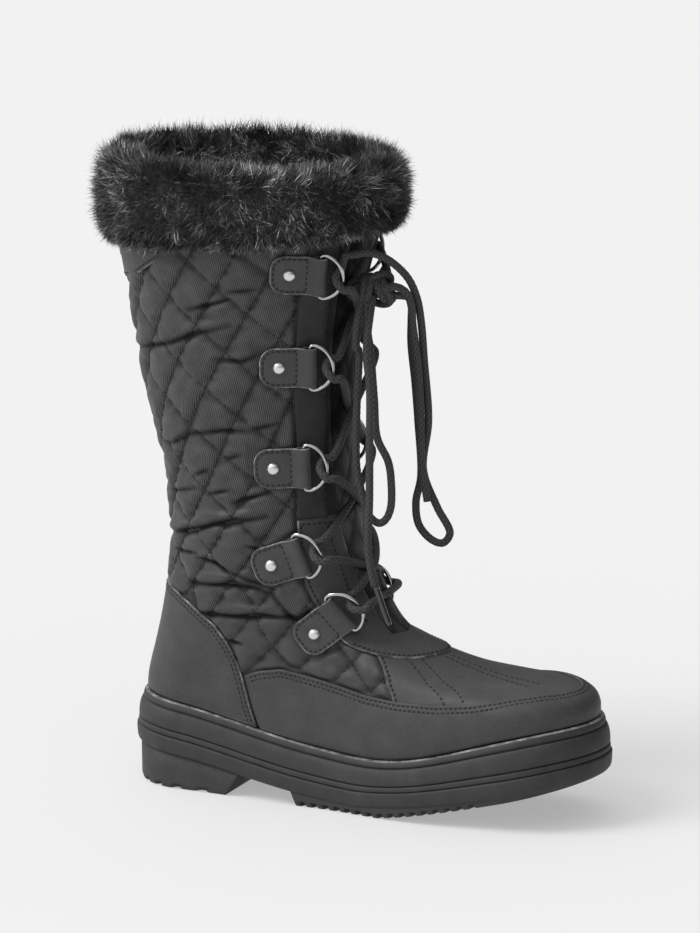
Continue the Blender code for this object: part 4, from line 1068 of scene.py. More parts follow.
def throat_patch():
    """Leather cut at the foot of the throat with an arm up each side of the tongue."""
    throat = THROAT_STEP / 2
    side = np.linspace(0.0, 1.0, 36)
    middle = np.linspace(throat, 1.0 - throat, 41)[1:-1]
    low_part, arm_part = np.linspace(0.0, 1.0, 30), np.linspace(0.0, 1.0, 48)[1:]
    rows_t, rows_v = [], []
    for nominal, fraction, arm in ([(7.0 + f, f, False) for f in low_part]
                                   + [(8.0 + (ARM_TOP - 8.0) * f, f, True) for f in arm_part]):
        back = column(ARM_BACK, nominal)
        lateral = back + (throat - back) * side
        t = np.concatenate([lateral, middle, 1.0 - lateral[::-1]])
        low = column(PATCH_LOW, np.minimum(t, 1.0 - t))
        rows_t.append(t)
        rows_v.append(np.full(t.shape, nominal) if arm else low + (8.0 - low) * fraction)
    t, v = np.array(rows_t), np.array(rows_v)
    inside = np.abs(0.5 * (t[:-1, :-1] + t[:-1, 1:]) - 0.5) < 0.5 - throat
    keep = (v[:-1, :-1] < THROAT_ROW - 1e-6) | ~inside
    thin = smooth((v - ARM_FROM) / ARM_SPAN)
    panel("throat_panel", t, v, 0.6 - 0.55 * thin, PANEL_HIGH - (PANEL_HIGH - ARM_HIGH) * thin, "leather",
          "synthetic_leather", ("throat_patch",), keep=keep, grooves=(BESIDE_SEAM,))
    across = np.linspace(0.334, 0.666, 160)
    edge = across, column(PATCH_LOW, np.minimum(across, 1.0 - across))
    sew(*inset_line(*edge, BESIDE_SEAM), PANEL_HIGH - 0.1)
    rows = np.linspace(8.3, ARM_TOP - 0.08, 60)
    out = ARM_HIGH + (PANEL_HIGH - ARM_HIGH) * (1.0 - smooth((rows - ARM_FROM) / ARM_SPAN))
    across = np.linspace(0.358, 0.43, 30)
    for mirror in (1.0, -1.0):
        sew(*inset_line(mirror * column(ARM_BACK, rows), rows, -mirror * BESIDE_SEAM), out)
        sew(mirror * column(STAY_LINE, rows), rows, out + 0.06)
        sew(mirror * across, np.full(across.shape, ARM_TOP - 0.06), ARM_HIGH + 0.06)


def stays():
    rows, share = np.linspace(ARM_TOP + 0.02, TOP_ROW, 70), np.linspace(0.0, 1.0, 26)
    back, front = column(ARM_BACK, rows)[:, None], column(STAY_LINE, rows)[:, None] + STAY_MARGIN
    t, v = back + (front - back) * share, np.repeat(rows[:, None], len(share), 1)
    sewn = rows[:-6]
    for word, mirror in SIDES:
        panel(f"stay_{word}", t if mirror > 0 else 1.0 - t[:, ::-1], v, 0.05, STAY_HIGH, "stay",
              "quilted_nylon", soft=0.6, edge_look="stay")
        sew(mirror * column(STAY_LINE, sewn), sewn, STAY_HIGH + 0.05)
        sew(mirror * (column(ARM_BACK, sewn) - 0.006), sewn, 0.3)


# Back patch: height of its roof under the fur, and the stitches' distance from its edge.
BACK_ROOF, BACK_STITCH = 305.4, 2.0


def back_patch():
    roof = float(row_where(np.array(0.0), lambda p: p[..., 2] - BACK_ROOF, 8.0, TOP_ROW))
    reach = float(step_where(roof, lambda p: p[..., 0] + 0.5, 0.0, 0.25))
    t = np.linspace(-reach, reach, 121)
    low = row_where(t, lambda p: p[..., 2] - column(BACK_PATCH_EDGE, p[..., 0]), 8.0, TOP_ROW)
    low = np.minimum(low, roof - 0.01)
    grid = between((t, np.full(t.shape, roof + 0.5)), (t, low), to_edge(14, 24.0))
    panel("back_panel", grid[0][::-1], grid[1][::-1], PANEL_GAP, PANEL_HIGH, "leather", "synthetic_leather",
          ("back_patch",), grooves=(BACK_STITCH,))
    sew(*inset_line(t, low, BACK_STITCH), PANEL_HIGH - 0.15)


# Tongue: its cells, how far it bulges, the lace's reach and the most it presses in.
TONGUE_CELL, TONGUE_BULGE, LACE_PRESS, PRESS_MOST = (24.0, 17.0), 3.5, 2.3, 6.0
# Outer steps, first and last row, last row that follows the upper; millimetres to a step and to a row.
TONGUE_SIDES, TONGUE_LOW, TONGUE_TOP, TONGUE_BENT = (0.39, 0.61), 7.1, 14.3, 13.9
TONGUE_ROUND, TONGUE_RISE = 320.0, 25.0


def pressed(points, normals):
    """How far the lace pushes each point of the tongue in."""
    push = np.zeros(len(points))
    for word, _ in SIDES:
        for spot in spline(lace_way(word), step=1.5):
            gap = points - spot
            high = (gap * normals).sum(1)
            away = np.sqrt(np.maximum((gap ** 2).sum(1) - high ** 2, 0.0))
            room = away - LACE_PRESS - np.sqrt(np.maximum(LACE_PRESS ** 2 - away ** 2, 0.0))
            push = np.maximum(push, np.where(away < 2.0 * LACE_PRESS, high - room, 0.0))
    return np.minimum(push, PRESS_MOST)[:, None] * normals


def tongue():
    """Padded sheet behind the throat, with shallow quilting of its own, pressed in by the lace."""
    first, last = TONGUE_SIDES
    t, high = np.meshgrid(np.linspace(first, last, 64), np.linspace(TONGUE_LOW, TONGUE_TOP, 150))
    v = np.minimum(high, TONGUE_BENT)
    base, across = boot(t, v), (t - 0.5) * TONGUE_ROUND
    lift = np.zeros(base.shape)
    lift[..., 2] = (high - v) * TONGUE_RISE
    up, wide = base[..., 2] / TONGUE_CELL[0], across / TONGUE_CELL[1]
    puff = np.ones(t.shape)
    for phase in (up + wide, up - wide):
        puff = puff * (1.0 - np.exp(-(np.abs(phase - np.round(phase)) / 0.16) ** 1.2))
    margin = np.minimum(np.minimum(t - first, last - t) * TONGUE_ROUND, (TONGUE_TOP - high) * 30.0)
    puff = puff * smooth(margin / 4.0)
    bulge = smooth((0.508 - 0.5 * THROAT_STEP - np.abs(t - 0.5)) / 0.014)
    bulge = bulge * smooth((v - THROAT_ROW + 0.16) / 0.14) * (1.0 - 0.6 * smooth((v - 10.2) / 2.0))
    top = -WALL - TONGUE_GAP - 0.1 - 0.9 * (1.0 - puff) + TONGUE_BULGE * bulge
    outer = (skin(t, v, top) + lift).reshape(-1, 3)
    inner = (skin(t, v, np.full(t.shape, -WALL - TONGUE_GAP - TONGUE_THICK)) + lift).reshape(-1, 3)
    push = pressed(outer, boot_normal(t, v).reshape(-1, 3))
    points, faces = closed_sheet(inner - push, outer - push, grid_faces(*t.shape))
    uv = np.stack([across, base[..., 2]], -1).reshape(-1, 2)
    look_of = np.repeat((0, 1, 0), [len(block) for block in faces])
    # Its shade attribute darkens the quilting's valleys and the tongue's margins: painted shade.
    make("tongue_pad", points, faces, ("tongue", "fleece"), ("tongue",),
         uv=np.tile(uv, (2, 1)), shade=np.tile((0.4 + 0.6 * puff).ravel(), 2), look_of=look_of)


# Side wall of the sole, finer: share of the wall's height, inset from the lip.
WALL_FINE = (
    (0.0, 3.0), (.02, 1.6), (.05, .8), (.10, .3), (.20, .08), (.29, 0.0), (.322, .1), (.332, .4), (.336, 1.9),
    (.350, 2.1), (.354, 1.2), (.362, .9), (.38, .85), (.42, .95), (.446, 1.05), (.455, 1.35), (.459, 2.6),
    (.476, 2.7), (.480, 1.6), (.490, 1.25), (.51, 1.15), (.58, 1.2), (.68, 1.55), (.76, 2.2), (.805, 2.8),
    (.826, 3.2), (.832, 4.6), (.852, 4.9), (.857, 4.1), (.868, 3.75), (.90, 3.75), (.95, 4.2), (.975, 4.7),
    (.988, 5.1), (1.0, 5.8),
)
SOLE_FINE = 360
# Lower edge of the tread: share of the cuts' height, inset, share of their depth, share of the taper.
CUT_LEVELS = ((0.0, 1.3, 1.0, 0.0), (0.1, 0.75, 1.0, 0.1), (0.25, 0.4, 1.0, 0.25), (0.55, 0.2, 0.95, 0.55),
              (0.78, 0.1, 0.88, 0.78), (0.9, 0.05, 0.6, 0.9), (0.97, 0.0, 0.25, 0.97), (1.0, 0.0, 0.0, 1.0))


def ladder(ring):
    """Cap faces across a loop whose two sides mirror each other."""
    n = len(ring)
    quads = [[ring[i], ring[i + 1], ring[n - i - 1], ring[n - i]] for i in range(1, (n - 1) // 2)]
    ends = [[ring[0], ring[1], ring[n - 1]]]
    if n % 2 == 0:
        ends.append([ring[n // 2 - 1], ring[n // 2], ring[n // 2 + 1]])
    return np.array(quads), np.array(ends)


def loft(rings):
    """Points and faces of a closed solid through loops of equal count."""
    count = len(rings[0])
    walls = grid_faces(len(rings), count, True)
    last = (len(rings) - 1) * count
    low_quads, low_ends = ladder(np.arange(count))
    top_quads, top_ends = ladder(np.arange(last, last + count))
    quads = np.concatenate([walls, low_quads[:, ::-1], top_quads])
    return np.concatenate(rings), [quads, np.concatenate([low_ends[:, ::-1], top_ends])]


# Rings of the pale trim at the top of the sole's wall.
TRIM_RINGS = 3


def outsole():
    steps = np.linspace(0.0, 1.0, SOLE_FINE, endpoint=False)
    rings = []
    for share, inset in WALL_FINE:
        x, y = sole_line(steps, inset)
        low, high = sole_lip(x), sole_top(x)
        rings.append(np.stack([x, y, low + (high - low) * share], -1))
    for inset, drop in ((6.6, 0.0), (RIM_INSET, 0.0), (RIM_INSET, RECESS)):
        x, y = sole_line(steps, inset)
        rings.append(np.stack([x, y, sole_top(x) - drop], -1))
    points, faces = loft(rings)
    look_of = np.zeros(len(faces[0]) + len(faces[1]))
    trim = len(WALL_FINE) - TRIM_RINGS
    look_of[trim * SOLE_FINE:(trim + TRIM_RINGS) * SOLE_FINE] = 1
    make("sole_wall", points, faces, ("rubber", "cut_edge"), ("outsole",), look_of=look_of,
         weld=True)


def reach_to(middle, limit, inset):
    """Steps from middle to where the sole's outline meets x = limit."""
    low, high = 0.0, 0.5
    behind = sole_line(middle, inset)[0] < limit
    for _ in range(40):
        half = 0.5 * (low + high)
        short = (sole_line((middle + half) % 1.0, inset)[0] < limit) == behind
        low, high = (half, high) if short else (low, half)
    return high


def tread_block(name, middle, count, cuts, levels):
    """Block under the lip, alike on both sides of the step middle, with rounded cuts at its lower edge."""
    shares = np.linspace(0.0, 1.0, count)
    cut = np.zeros(count)
    for centre, half in cuts:
        cut = np.maximum(cut, smooth(1.25 - np.abs(shares - centre) / half))
    shares, cut = np.concatenate([shares, -shares[:0:-1]]), np.concatenate([cut, cut[:0:-1]])
    rings = []
    for limit, inset, deep, height in levels:
        steps = (middle + shares * reach_to(middle, limit, inset)) % 1.0
        x, y = sole_line(steps, inset + deep * cut)
        rings.append(np.stack([x, y, height(x)], -1))
    points, faces = loft(rings)
    make(name, points, faces, ("rubber",), weld=True)


def over_lip(x):
    return sole_lip(x) + 1.5


def up_wall(low, top):
    """Levels from the top of the cuts to the lip."""
    rows = []
    for f in (0.06, 0.35):
        rows.append((low[0] + (top[0] - low[0]) * f, low[1] + (top[1] - low[1]) * f, 0.0,
                     lambda x, f=f: low[3](x) * (1.0 - f) + top[3](x) * f))
    return rows + [top]


def heel_block():
    total, drop = HEEL_NOTCHES + 0.4, HEEL_BREAST_TOP - HEEL_BREAST_LOW
    cuts = [((k + 0.55) / total, NOTCH_SHARE / total) for k in range(HEEL_NOTCHES)]
    levels = []
    for high, inset, deep, back in CUT_LEVELS:
        breast, inset = HEEL_BREAST_LOW + drop * 0.16 * high, HEEL_INSET + inset + 0.3 * (1.0 - back)
        levels.append((breast, inset, NOTCH_DEEP * deep,
                       lambda x, high=high: np.full(x.shape, NOTCH_HIGH * high)))
    levels += up_wall(levels[-1], (HEEL_BREAST_TOP, HEEL_INSET - 0.3, 0.0, over_lip))
    tread_block("heel_block", 0.0, 240, cuts, levels)


def fore_block():
    length = SOLE_FRONT - SOLE_BACK

    def step(x):
        return math.acos(1.0 - 2.0 * (x - SOLE_BACK) / length) / (2 * math.pi)

    def cut_top(x, high):
        return tread(x) + high * np.minimum(NOTCH_HIGH, 0.6 * (over_lip(x) - tread(x)))

    first, cuts, levels = step(FORE_BREAST), [], []
    for k in range(FORE_NOTCHES):
        t = step(FORE_FIRST + FORE_PITCH * k)
        half = NOTCH_HALF / (length * math.pi * math.sin(2 * math.pi * t))
        cuts.append(((0.5 - t) / (0.5 - first), half / (0.5 - first)))
    for high, inset, deep, _ in CUT_LEVELS:
        levels.append((FORE_BREAST - 1.2 * high, FORE_INSET + inset, NOTCH_DEEP * deep,
                       lambda x, high=high: cut_top(x, high)))
    levels += up_wall(levels[-1], (FORE_BREAST - 4.0, FORE_INSET, 0.0, over_lip))
    tread_block("fore_block", 0.5, 560, cuts, levels)


# Footbed: inset and height of its rings.
FOOTBED = ((0, 0), (0, 2.8), (.3, 3.5), (.9, 3.9), (2.0, 4.0), (6.0, 3.6))


def insole():
    steps = np.linspace(0.0, 1.0, 180, endpoint=False)
    rings = []
    for inset, height in FOOTBED:
        x, y = sole_line(steps, RIM_INSET + INSOLE_GAP + inset)
        rings.append(np.stack([x, y, sole_top(x) - RECESS + INSOLE_GAP + height], -1))
    points, faces = loft(rings)
    make("footbed", points, faces, ("felt",), ("insole",), weld=True)


# Fur: number of strands, of pieces and of clumps; how deep the roots sink, strand lengths, draw of a clump on
# its strands and how far that reaches, width.
FUR_STRANDS, FUR_PIECES, FUR_CLUMPS = 90000, 3, 1000
FUR_SINK, FUR_LONG, FUR_DRAW, FUR_REACH, FUR_WIDE = 3.4, (5.0, 9.0), 0.5, 6.0, 0.27
# Rows of the section with fur; along them: row, combing out and up, share of the length.
FUR_FROM, FUR_TO = 0.7, 9.6
FUR_COMB = ((0.5, 0.0, -0.2, .36), (1.9, 0.1, -0.45, .74), (2.6, 0.1, -0.5, 1.0), (4, 0.0, -0.2, 1.05),
            (5, 0.0, 0.1, 1.2), (6, 0.0, 0.35, 1.25), (7, 0.0, 0.4, 1.4), (8, 0.1, 0.4, 1.4),
            (9.5, 0.0, 0.3, 1.2))
CLUMP_TILT, STRAND_TILT, STRAND_CURL = 0.85, 0.8, 2.3
# Share of pale strands (grey hairs and painted glints); how much paler the inside is painted, painted light
# in the mouth; tones of clumps, of pale and of other strands.
FUR_PALE_GLINTS, FUR_INSIDE_PAINTED_LIGHT = 0.14, 0.8
CLUMP_TONE, PALE_GLINT_TONE, STRAND_TONE = (0.2, 1.5), 0.8, (0.13, 0.43)
# A strand from root to tip: place along it, width.
STRAND_WIDTHS = ((0.0, 0.8), (0.55, 0.95), (1.0, 0.0))
# Paler and darker places: step round, row of the section, their half widths, gain, lean of the strands.
FUR_SPOTS = ((.178, 4.8, .012, 2.2, .35, 0.0), (.10, 5.3, .05, 1.3, 1.5, 0.0), (.335, 6.0, .06, .9, 1.6, 0.9),
             (.215, 5.8, .03, 1.2, .65, 0.3), (.27, 4.3, .03, .8, .75, 0.0), (.40, 3.6, .04, 1.0, .8, -0.2))
# Parting: step, half width, how far strands lean away from it, rows of the section.
PARTING, PARTING_WIDE, PARTING_LEAN, PARTING_ROWS = 0.178, 0.02, 1.4, (3.0, 7.0)
CORE_INSET, CORE_TONE = 4.6, 0.02


def cuff_place(t, q, inset):
    """Points on the cuff's section at q rows round it, with the way out from it."""
    section = np.array(CUFF_SECTION, float)
    index = np.arange(len(section) + 1)
    ring = np.concatenate([section, section[:1]])

    def at(q):
        q = q % len(section)
        return np.interp(q, index, ring[:, 0]), np.interp(q, index, ring[:, 1])

    out, height = at(q)
    ahead, behind = at(q + 0.45), at(q - 0.45)
    along = unit(np.stack([ahead[0] - behind[0], ahead[1] - behind[1]], -1))
    way = np.stack([along[..., 1], -along[..., 0]], -1)
    out, height = out - inset * way[..., 0], height - inset * way[..., 1]
    base, level = boot(t, TOP_ROW), np.clip(height, 0, None) / CUFF_HIGH
    side = boot_normal(np.asarray(t, float), np.full(np.shape(t), TOP_ROW))
    side[..., 2] = 0.0
    side = unit(side)
    place = base + side * out[..., None]
    place[..., 2] = place[..., 2] * (1.0 - level) + CUFF_LEVEL * level + height
    normal = side * way[..., :1] + np.array([0.0, 0.0, 1.0]) * way[..., 1:]
    return place, normal, side


def fur_spots(t, q):
    """Gain in tone and forward lean of strands."""
    gain, lean = np.ones(t.shape), np.zeros(t.shape)
    for at, up, wide, tall, more, ahead in FUR_SPOTS:
        near = np.exp(-((t - at) / wide) ** 2 - ((q - up) / tall) ** 2)
        gain, lean = gain * (1.0 + (more - 1.0) * near), lean + ahead * near
    apart = (t - PARTING) / PARTING_WIDE
    within = (q > PARTING_ROWS[0]) & (q < PARTING_ROWS[1])
    return gain, lean + PARTING_LEAN * apart * np.exp(-apart ** 2) * within


def fur_strands(t, q, tilt, long):
    """Root, and the leaning way out, of strands at t round the cuff and q up its section."""
    root, normal, side = cuff_place(t, q, FUR_SINK)
    comb = np.array(FUR_COMB)
    lean = side * np.interp(q, comb[:, 0], comb[:, 1])[:, None]
    lean[:, 2] += np.interp(q, comb[:, 0], comb[:, 2])
    around = np.cross((0.0, 0.0, 1.0), side)
    way = unit(normal + lean + tilt + around * fur_spots(t, q)[1][:, None])
    return root, way * (long * np.interp(q, comb[:, 0], comb[:, 3]))[:, None]


def fur_cuff():
    """Dark core under flat strands that are drawn together in clumps."""
    around, up = np.meshgrid(np.linspace(0, 1, 120, endpoint=False), np.linspace(0, len(CUFF_SECTION), 61))
    core = cuff_place(around, up, CORE_INSET)[0].reshape(-1, 3)
    make("fur_core", core, [grid_faces(*around.shape, True)], ("fur",), ("fur_cuff",),
         shade=np.full(len(core), CORE_TONE), weld=True)
    clump_t, clump_q = rng.random(FUR_CLUMPS), FUR_FROM + (FUR_TO - FUR_FROM) * rng.random(FUR_CLUMPS)
    clump_long = rng.uniform(*FUR_LONG, FUR_CLUMPS)
    clump_tilt = rng.normal(0, CLUMP_TILT, (FUR_CLUMPS, 3))
    clump_root, clump_way = fur_strands(clump_t, clump_q, clump_tilt, clump_long)
    clump_tone = rng.uniform(*CLUMP_TONE, FUR_CLUMPS)
    each = FUR_STRANDS // FUR_PIECES
    for part in range(FUR_PIECES):
        t = (part + rng.random(each)) / FUR_PIECES
        q = FUR_FROM + (FUR_TO - FUR_FROM) * rng.random(each)
        long = rng.uniform(*FUR_LONG, each)
        root, way = fur_strands(t, q, rng.normal(0, STRAND_TILT, (each, 3)), long)
        nearest = np.empty(each, int)
        for rows in np.array_split(np.arange(each), 40):
            nearest[rows] = ((root[rows][:, None] - clump_root[None]) ** 2).sum(-1).argmin(1)
        draw = FUR_DRAW * np.exp(-np.linalg.norm(root - clump_root[nearest], axis=1) / FUR_REACH)
        bow = rng.normal(0, STRAND_CURL, (each, 3))
        wide = np.cross(way, rng.normal(0, 1, (each, 3)))
        # Pale strands: partly grey guard hairs, partly painted glints.
        pale = rng.random(each) < FUR_PALE_GLINTS
        wide = unit(wide) * (FUR_WIDE * (1.0 + 0.3 * pale))[:, None]
        bright = np.where(pale, PALE_GLINT_TONE, STRAND_TONE[0] + STRAND_TONE[1] * rng.random(each))
        bright = bright * clump_tone[nearest] * fur_spots(t, q)[0]
        # Painted light: strands inside the cuff's mouth are paler, against the shade there.
        bright = bright * (1.0 + FUR_INSIDE_PAINTED_LIGHT * smooth((q - 6.5) / 1.5))
        rows, shade = [], []
        for f, size in STRAND_WIDTHS:
            own = root + way * f + bow * (f * f)
            target = clump_root[nearest] + clump_way[nearest] * f
            place = own + (target - own) * (draw * f ** 1.3)[:, None]
            sides = (-0.5, 0.5) if size else (0.0,)
            rows += [place + wide * (s * size) for s in sides]
            shade += [bright * (0.35 + 0.65 * f)] * len(sides)
        points, tone = np.stack(rows, 1).reshape(-1, 3), np.stack(shade, 1).ravel()
        first = np.arange(each)[:, None] * len(rows)
        faces = [first + [0, 1, 3, 2], first + [2, 3, 4]]
        make(f"fur_strands_{part + 1}", points, faces, ("fur",), shade=tone)


def spline(points, closed=False, step=None, count=None):
    """Smooth line through points, evenly spaced."""
    points = np.array(points, float)
    n = len(points)
    if closed:
        before, after, last = np.roll(points, 1, 0), np.roll(points, -1, 0), n
    else:
        before = np.concatenate([2 * points[:1] - points[1:2], points[:-1]])
        after = np.concatenate([points[1:], 2 * points[-1:] - points[-2:-1]])
        last = n - 1
    fine = []
    f = np.linspace(0, 1, 24, endpoint=False)[:, None]
    for k in range(last):
        a, b, c = before[k], points[k], after[k]
        d = after[(k + 1) % n]
        gaps = [max(np.linalg.norm(p - q), 1e-6) ** 0.5 for p, q in ((b, a), (c, b), (d, c))]
        m1 = gaps[1] * ((b - a) / gaps[0] - (c - a) / (gaps[0] + gaps[1]) + (c - b) / gaps[1])
        m2 = gaps[1] * ((c - b) / gaps[1] - (d - b) / (gaps[1] + gaps[2]) + (d - c) / gaps[2])
        fine.append(b + m1 * f + (3 * (c - b) - 2 * m1 - m2) * f ** 2 + (2 * (b - c) + m1 + m2) * f ** 3)
    fine = np.concatenate(fine + [points[:1] if closed else points[-1:]])
    run = run_along(fine)
    number = count or max(8, int(round(run[-1] / step)))
    at = np.linspace(0, run[-1], number + 1)
    line = np.stack([np.interp(at, run, fine[:, k]) for k in range(fine.shape[1])], -1)
    return line[:-1] if closed else line


def frames(path, closed):
    """Tangent and two sides along a path, without twist."""
    ahead = np.roll(path, -1, 0) - np.roll(path, 1, 0)
    if not closed:
        ahead[0], ahead[-1] = path[1] - path[0], path[-1] - path[-2]
    ahead = unit(ahead)
    guide = np.array([0.3, 1.0, 0.2]) if abs(ahead[0][1]) < 0.8 else np.array([1.0, 0.1, 0.3])
    side = np.empty_like(path)
    last = np.cross(ahead[0], guide)
    for k in range(len(path)):
        last = unit(last - ahead[k] * (last @ ahead[k]))
        side[k] = last
    if closed:
        first = side[0]
        final = side[-1] - ahead[0] * (side[-1] @ ahead[0])
        twist = math.atan2(np.cross(final, first) @ ahead[0], final @ first)
        angle = twist * np.arange(len(path))[:, None] / len(path)
        side = side * np.cos(angle) + np.cross(ahead, side) * np.sin(angle)
    return ahead, side, np.cross(ahead, side)


def tube(path, radius, sides, closed=False):
    """Points and faces round a path; radius may be one value or a grid (path, sides)."""
    ahead, side, other = frames(path, closed)
    angle = 2 * math.pi * np.arange(sides) / sides
    radius = np.broadcast_to(radius, (len(path), sides))
    ring = side[:, None] * np.cos(angle)[:, None] + other[:, None] * np.sin(angle)[:, None]
    points = (path[:, None] + ring * radius[..., None]).reshape(-1, 3)
    faces = [grid_faces(len(path), sides, True)]
    if closed:
        i = np.arange(sides)
        n, last = (i + 1) % sides, (len(path) - 1) * sides
        faces = [np.concatenate([faces[0], np.stack([last + i, last + n, n, i], -1)])]
    else:
        faces += [np.arange(sides)[None, ::-1], (len(path) - 1) * sides + np.arange(sides)[None]]
    return points, faces


LACE_WIDE, AGLET_WIDE = 4.3, 3.4
BRAID_STRANDS, BRAID_PITCH, BRAID_STEP, BRAID_SIDES = 5, 3.2, 0.6, 20


def braid(name, line, nodes, closed=False):
    """Round braided lace along a line: two sets of strands wound against each other."""
    path = spline(line, closed, step=BRAID_STEP)
    angle = 2 * math.pi * np.arange(BRAID_SIDES) / BRAID_SIDES
    run = np.arange(len(path))[:, None] * BRAID_STEP * 2 * math.pi / BRAID_PITCH
    left, right = np.cos(BRAID_STRANDS * angle + run), np.cos(BRAID_STRANDS * angle - run)
    ridge = np.maximum(left, right) * 0.5 + 0.5
    radius = 0.5 * LACE_WIDE * (0.92 + 0.1 * ridge)
    points, faces = tube(path, radius, BRAID_SIDES, closed)
    # Painted shade: the shade attribute darkens the braid in the grooves between its ridges.
    piece = make(name, points, faces, ("lace",), nodes, shade=ridge.ravel() * 0.8 + 0.1, weld=True)
    return piece, path


# Ring tabs: the rise to the fold and the end under it, as (length, height); angles round the fold.
TAB_RISE = ((8.0, .7), (9.6, .9), (11.2, 1.9), (12.7, 3.4), (14.1, 4.75))
TAB_UNDER, TAB_LOW = ((14.6, 0.7), (12.8, 0.78)), 0.7
FOLD_ANGLES = (112, 85, 55, 25, -5, -35, -65, -92)
TAB_CORNER, TAB_HEM, TAB_BEND, TAB_SEWN = 8.4, 1.8, 8.0, 9.3
# Grid lines of a tab close to its sides and to its round end, as shares.
SIDE_POINTS, END_POINTS = (1.0, .985, .955, .91, .85), (1.0, .99, .97, .94, .9, .85)
# Dents along the hem and round the rivet: depth, width; radius of the latter.
HEM_DENT, RIVET_DENT, DENT_RADIUS = (0.3, 0.5), (0.35, 1.0), 3.6


def tab_start(b, inset=0.0):
    """Length where the tab's rounded back end starts, across its width."""
    radius, half = TAB_CORNER - inset, TAB_HALF - inset
    over = np.clip(np.abs(b) - (half - radius), 0.0, radius)
    return TAB_BACK + inset + radius - np.sqrt(radius ** 2 - over ** 2)


def ring_tab(word, k, tab):
    """Leather strip with a rounded end that rises to a fold round the ring's bar and turns under."""
    eye, reach = TAB_THICK + EYE_RADIUS, EYE_RADIUS + TAB_THICK / 2
    bend = list(TAB_RISE)
    for degrees in FOLD_ANGLES:
        angle = math.radians(degrees)
        bend.append((TAB_FOLD + reach * math.cos(angle), eye + reach * math.sin(angle)))
    bend = spline(bend + list(TAB_UNDER), count=30)
    half = np.concatenate([SIDE_POINTS, np.linspace(.78, 0, 9)]) * TAB_HALF
    b = np.concatenate([-half, half[-2::-1]])[:, None]
    flat = 1.0 - np.concatenate([END_POINTS, np.linspace(.78, 0, 12)[:-1]])
    start = tab_start(b)
    a = np.concatenate([start + (TAB_BEND - start) * flat, np.repeat(bend[None, :, 0], len(b), 0)], 1)
    h = np.concatenate([np.full((len(b), len(flat)), TAB_LOW), np.repeat(bend[None, :, 1], len(b), 0)], 1)
    b = np.repeat(b, a.shape[1], 1)
    along = unit(np.stack([np.gradient(a, axis=1), np.gradient(h, axis=1)], -1))
    quads = grid_faces(*a.shape)
    middle = tab.point(a, b, h + tab.lift).reshape(-1, 3)
    gap = rim_distance(middle, middle[rim_edges(quads, len(middle))[0]])
    thick = 0.5 * TAB_THICK * (0.4 + 0.6 * bulged(gap, 0.8)).reshape(a.shape)
    dent = HEM_DENT[0] * np.exp(-((gap - TAB_HEM) / HEM_DENT[1]) ** 2).reshape(a.shape) * (a < TAB_SEWN + 1.0)
    dent += RIVET_DENT[0] * np.exp(-((np.hypot(a, b) - DENT_RADIUS) / RIVET_DENT[1]) ** 2)
    outer, inner = (tab.point(a - along[..., 1] * off, b, h + along[..., 0] * off + tab.lift).reshape(-1, 3)
                    for off in (thick - dent, -thick))
    points, faces = closed_sheet(inner, outer, quads)
    edge = gap[quads].mean(1) < 0.45
    look_of = np.concatenate([edge, np.zeros(len(quads)), np.ones(len(faces[2]))])
    make(f"tab_{word}_{k + 1}", points, faces, ("leather", "cut_edge"),
         (f"ring_tab_{word}_{k + 1}",), look_of=look_of, weld=True)
    width = TAB_HALF - TAB_HEM
    across = np.concatenate([np.full(30, -width), np.linspace(-width, width, 60), np.full(30, width)])
    ends = tab_start(across[30:90], TAB_HEM)
    length = np.concatenate([np.linspace(TAB_SEWN, ends[0], 30), ends, np.linspace(ends[-1], TAB_SEWN, 30)])
    for line_a, line_b in ((length, across), (np.full(30, TAB_SEWN - 0.1), np.linspace(-width, width, 30))):
        height = tab.lift + TAB_THICK + 0.18 * (line_a > TAB_BEND)
        low, high = tab.point(line_a, line_b, height), tab.point(line_a, line_b, height + 1.0)
        dashes(low, high - low, *TAB_STITCH)


# Rivet: radius and height of its rings, as shares.
RIVET_DOME = np.array(((1.12, -0.15), (1.12, 0.12), (1.0, 0.42), (0.93, 0.72), (0.8, 0.98), (0.6, 1.18),
                       (0.35, 1.3), (0.12, 1.34)))
RIVET_SIDES = 28


def rivet(word, k, tab):
    ring = np.arange(RIVET_SIDES)
    angle = 2 * math.pi * ring / RIVET_SIDES
    radius, rise = RIVET_DOME[:, :1] * RIVET_RADIUS, RIVET_DOME[:, 1:] * RIVET_HIGH
    points = tab.point(radius * np.cos(angle), radius * np.sin(angle), tab.lift + TAB_THICK + rise)
    top = (len(RIVET_DOME) - 1) * RIVET_SIDES
    faces = [grid_faces(len(RIVET_DOME), RIVET_SIDES, True), ring[None, ::-1], top + ring[None]]
    make(f"rivet_dome_{word}_{k + 1}", points.reshape(-1, 3), faces, ("rivet",),
         (f"rivet_{word}_{k + 1}",), weld=True)


# The ring's wire against that of the solid; angle left out at each end of its bow.
RING_FINE, BOW_END = 0.85, 0.22


def d_ring(word, k, tab):
    eye, tilt = tab.lift + TAB_THICK + EYE_RADIUS, tab.tilt
    flat = [(0.0, share * RING_BAR) for share in (-1.0, -0.5, 0.0, 0.5, 1.0)]
    for angle in np.linspace(BOW_END, math.pi - BOW_END, 12):
        flat.append((RING_REACH * math.sin(angle), RING_HALF * math.cos(angle)))
    line = [tab.point(TAB_FOLD + a * math.cos(tilt), b, eye + a * math.sin(tilt)) for a, b in flat]
    points, faces = tube(spline(line, True, count=64), RING_TUBE * RING_FINE, 12, True)
    make(f"ring_{word}_{k + 1}", points, faces, ("steel",), (f"d_ring_{word}_{k + 1}",), weld=True)


# How far past a ring's bow the lace comes and goes, and its distance from the wire.
BOW_PAST, BOW_CLEAR = 3.6, 0.6


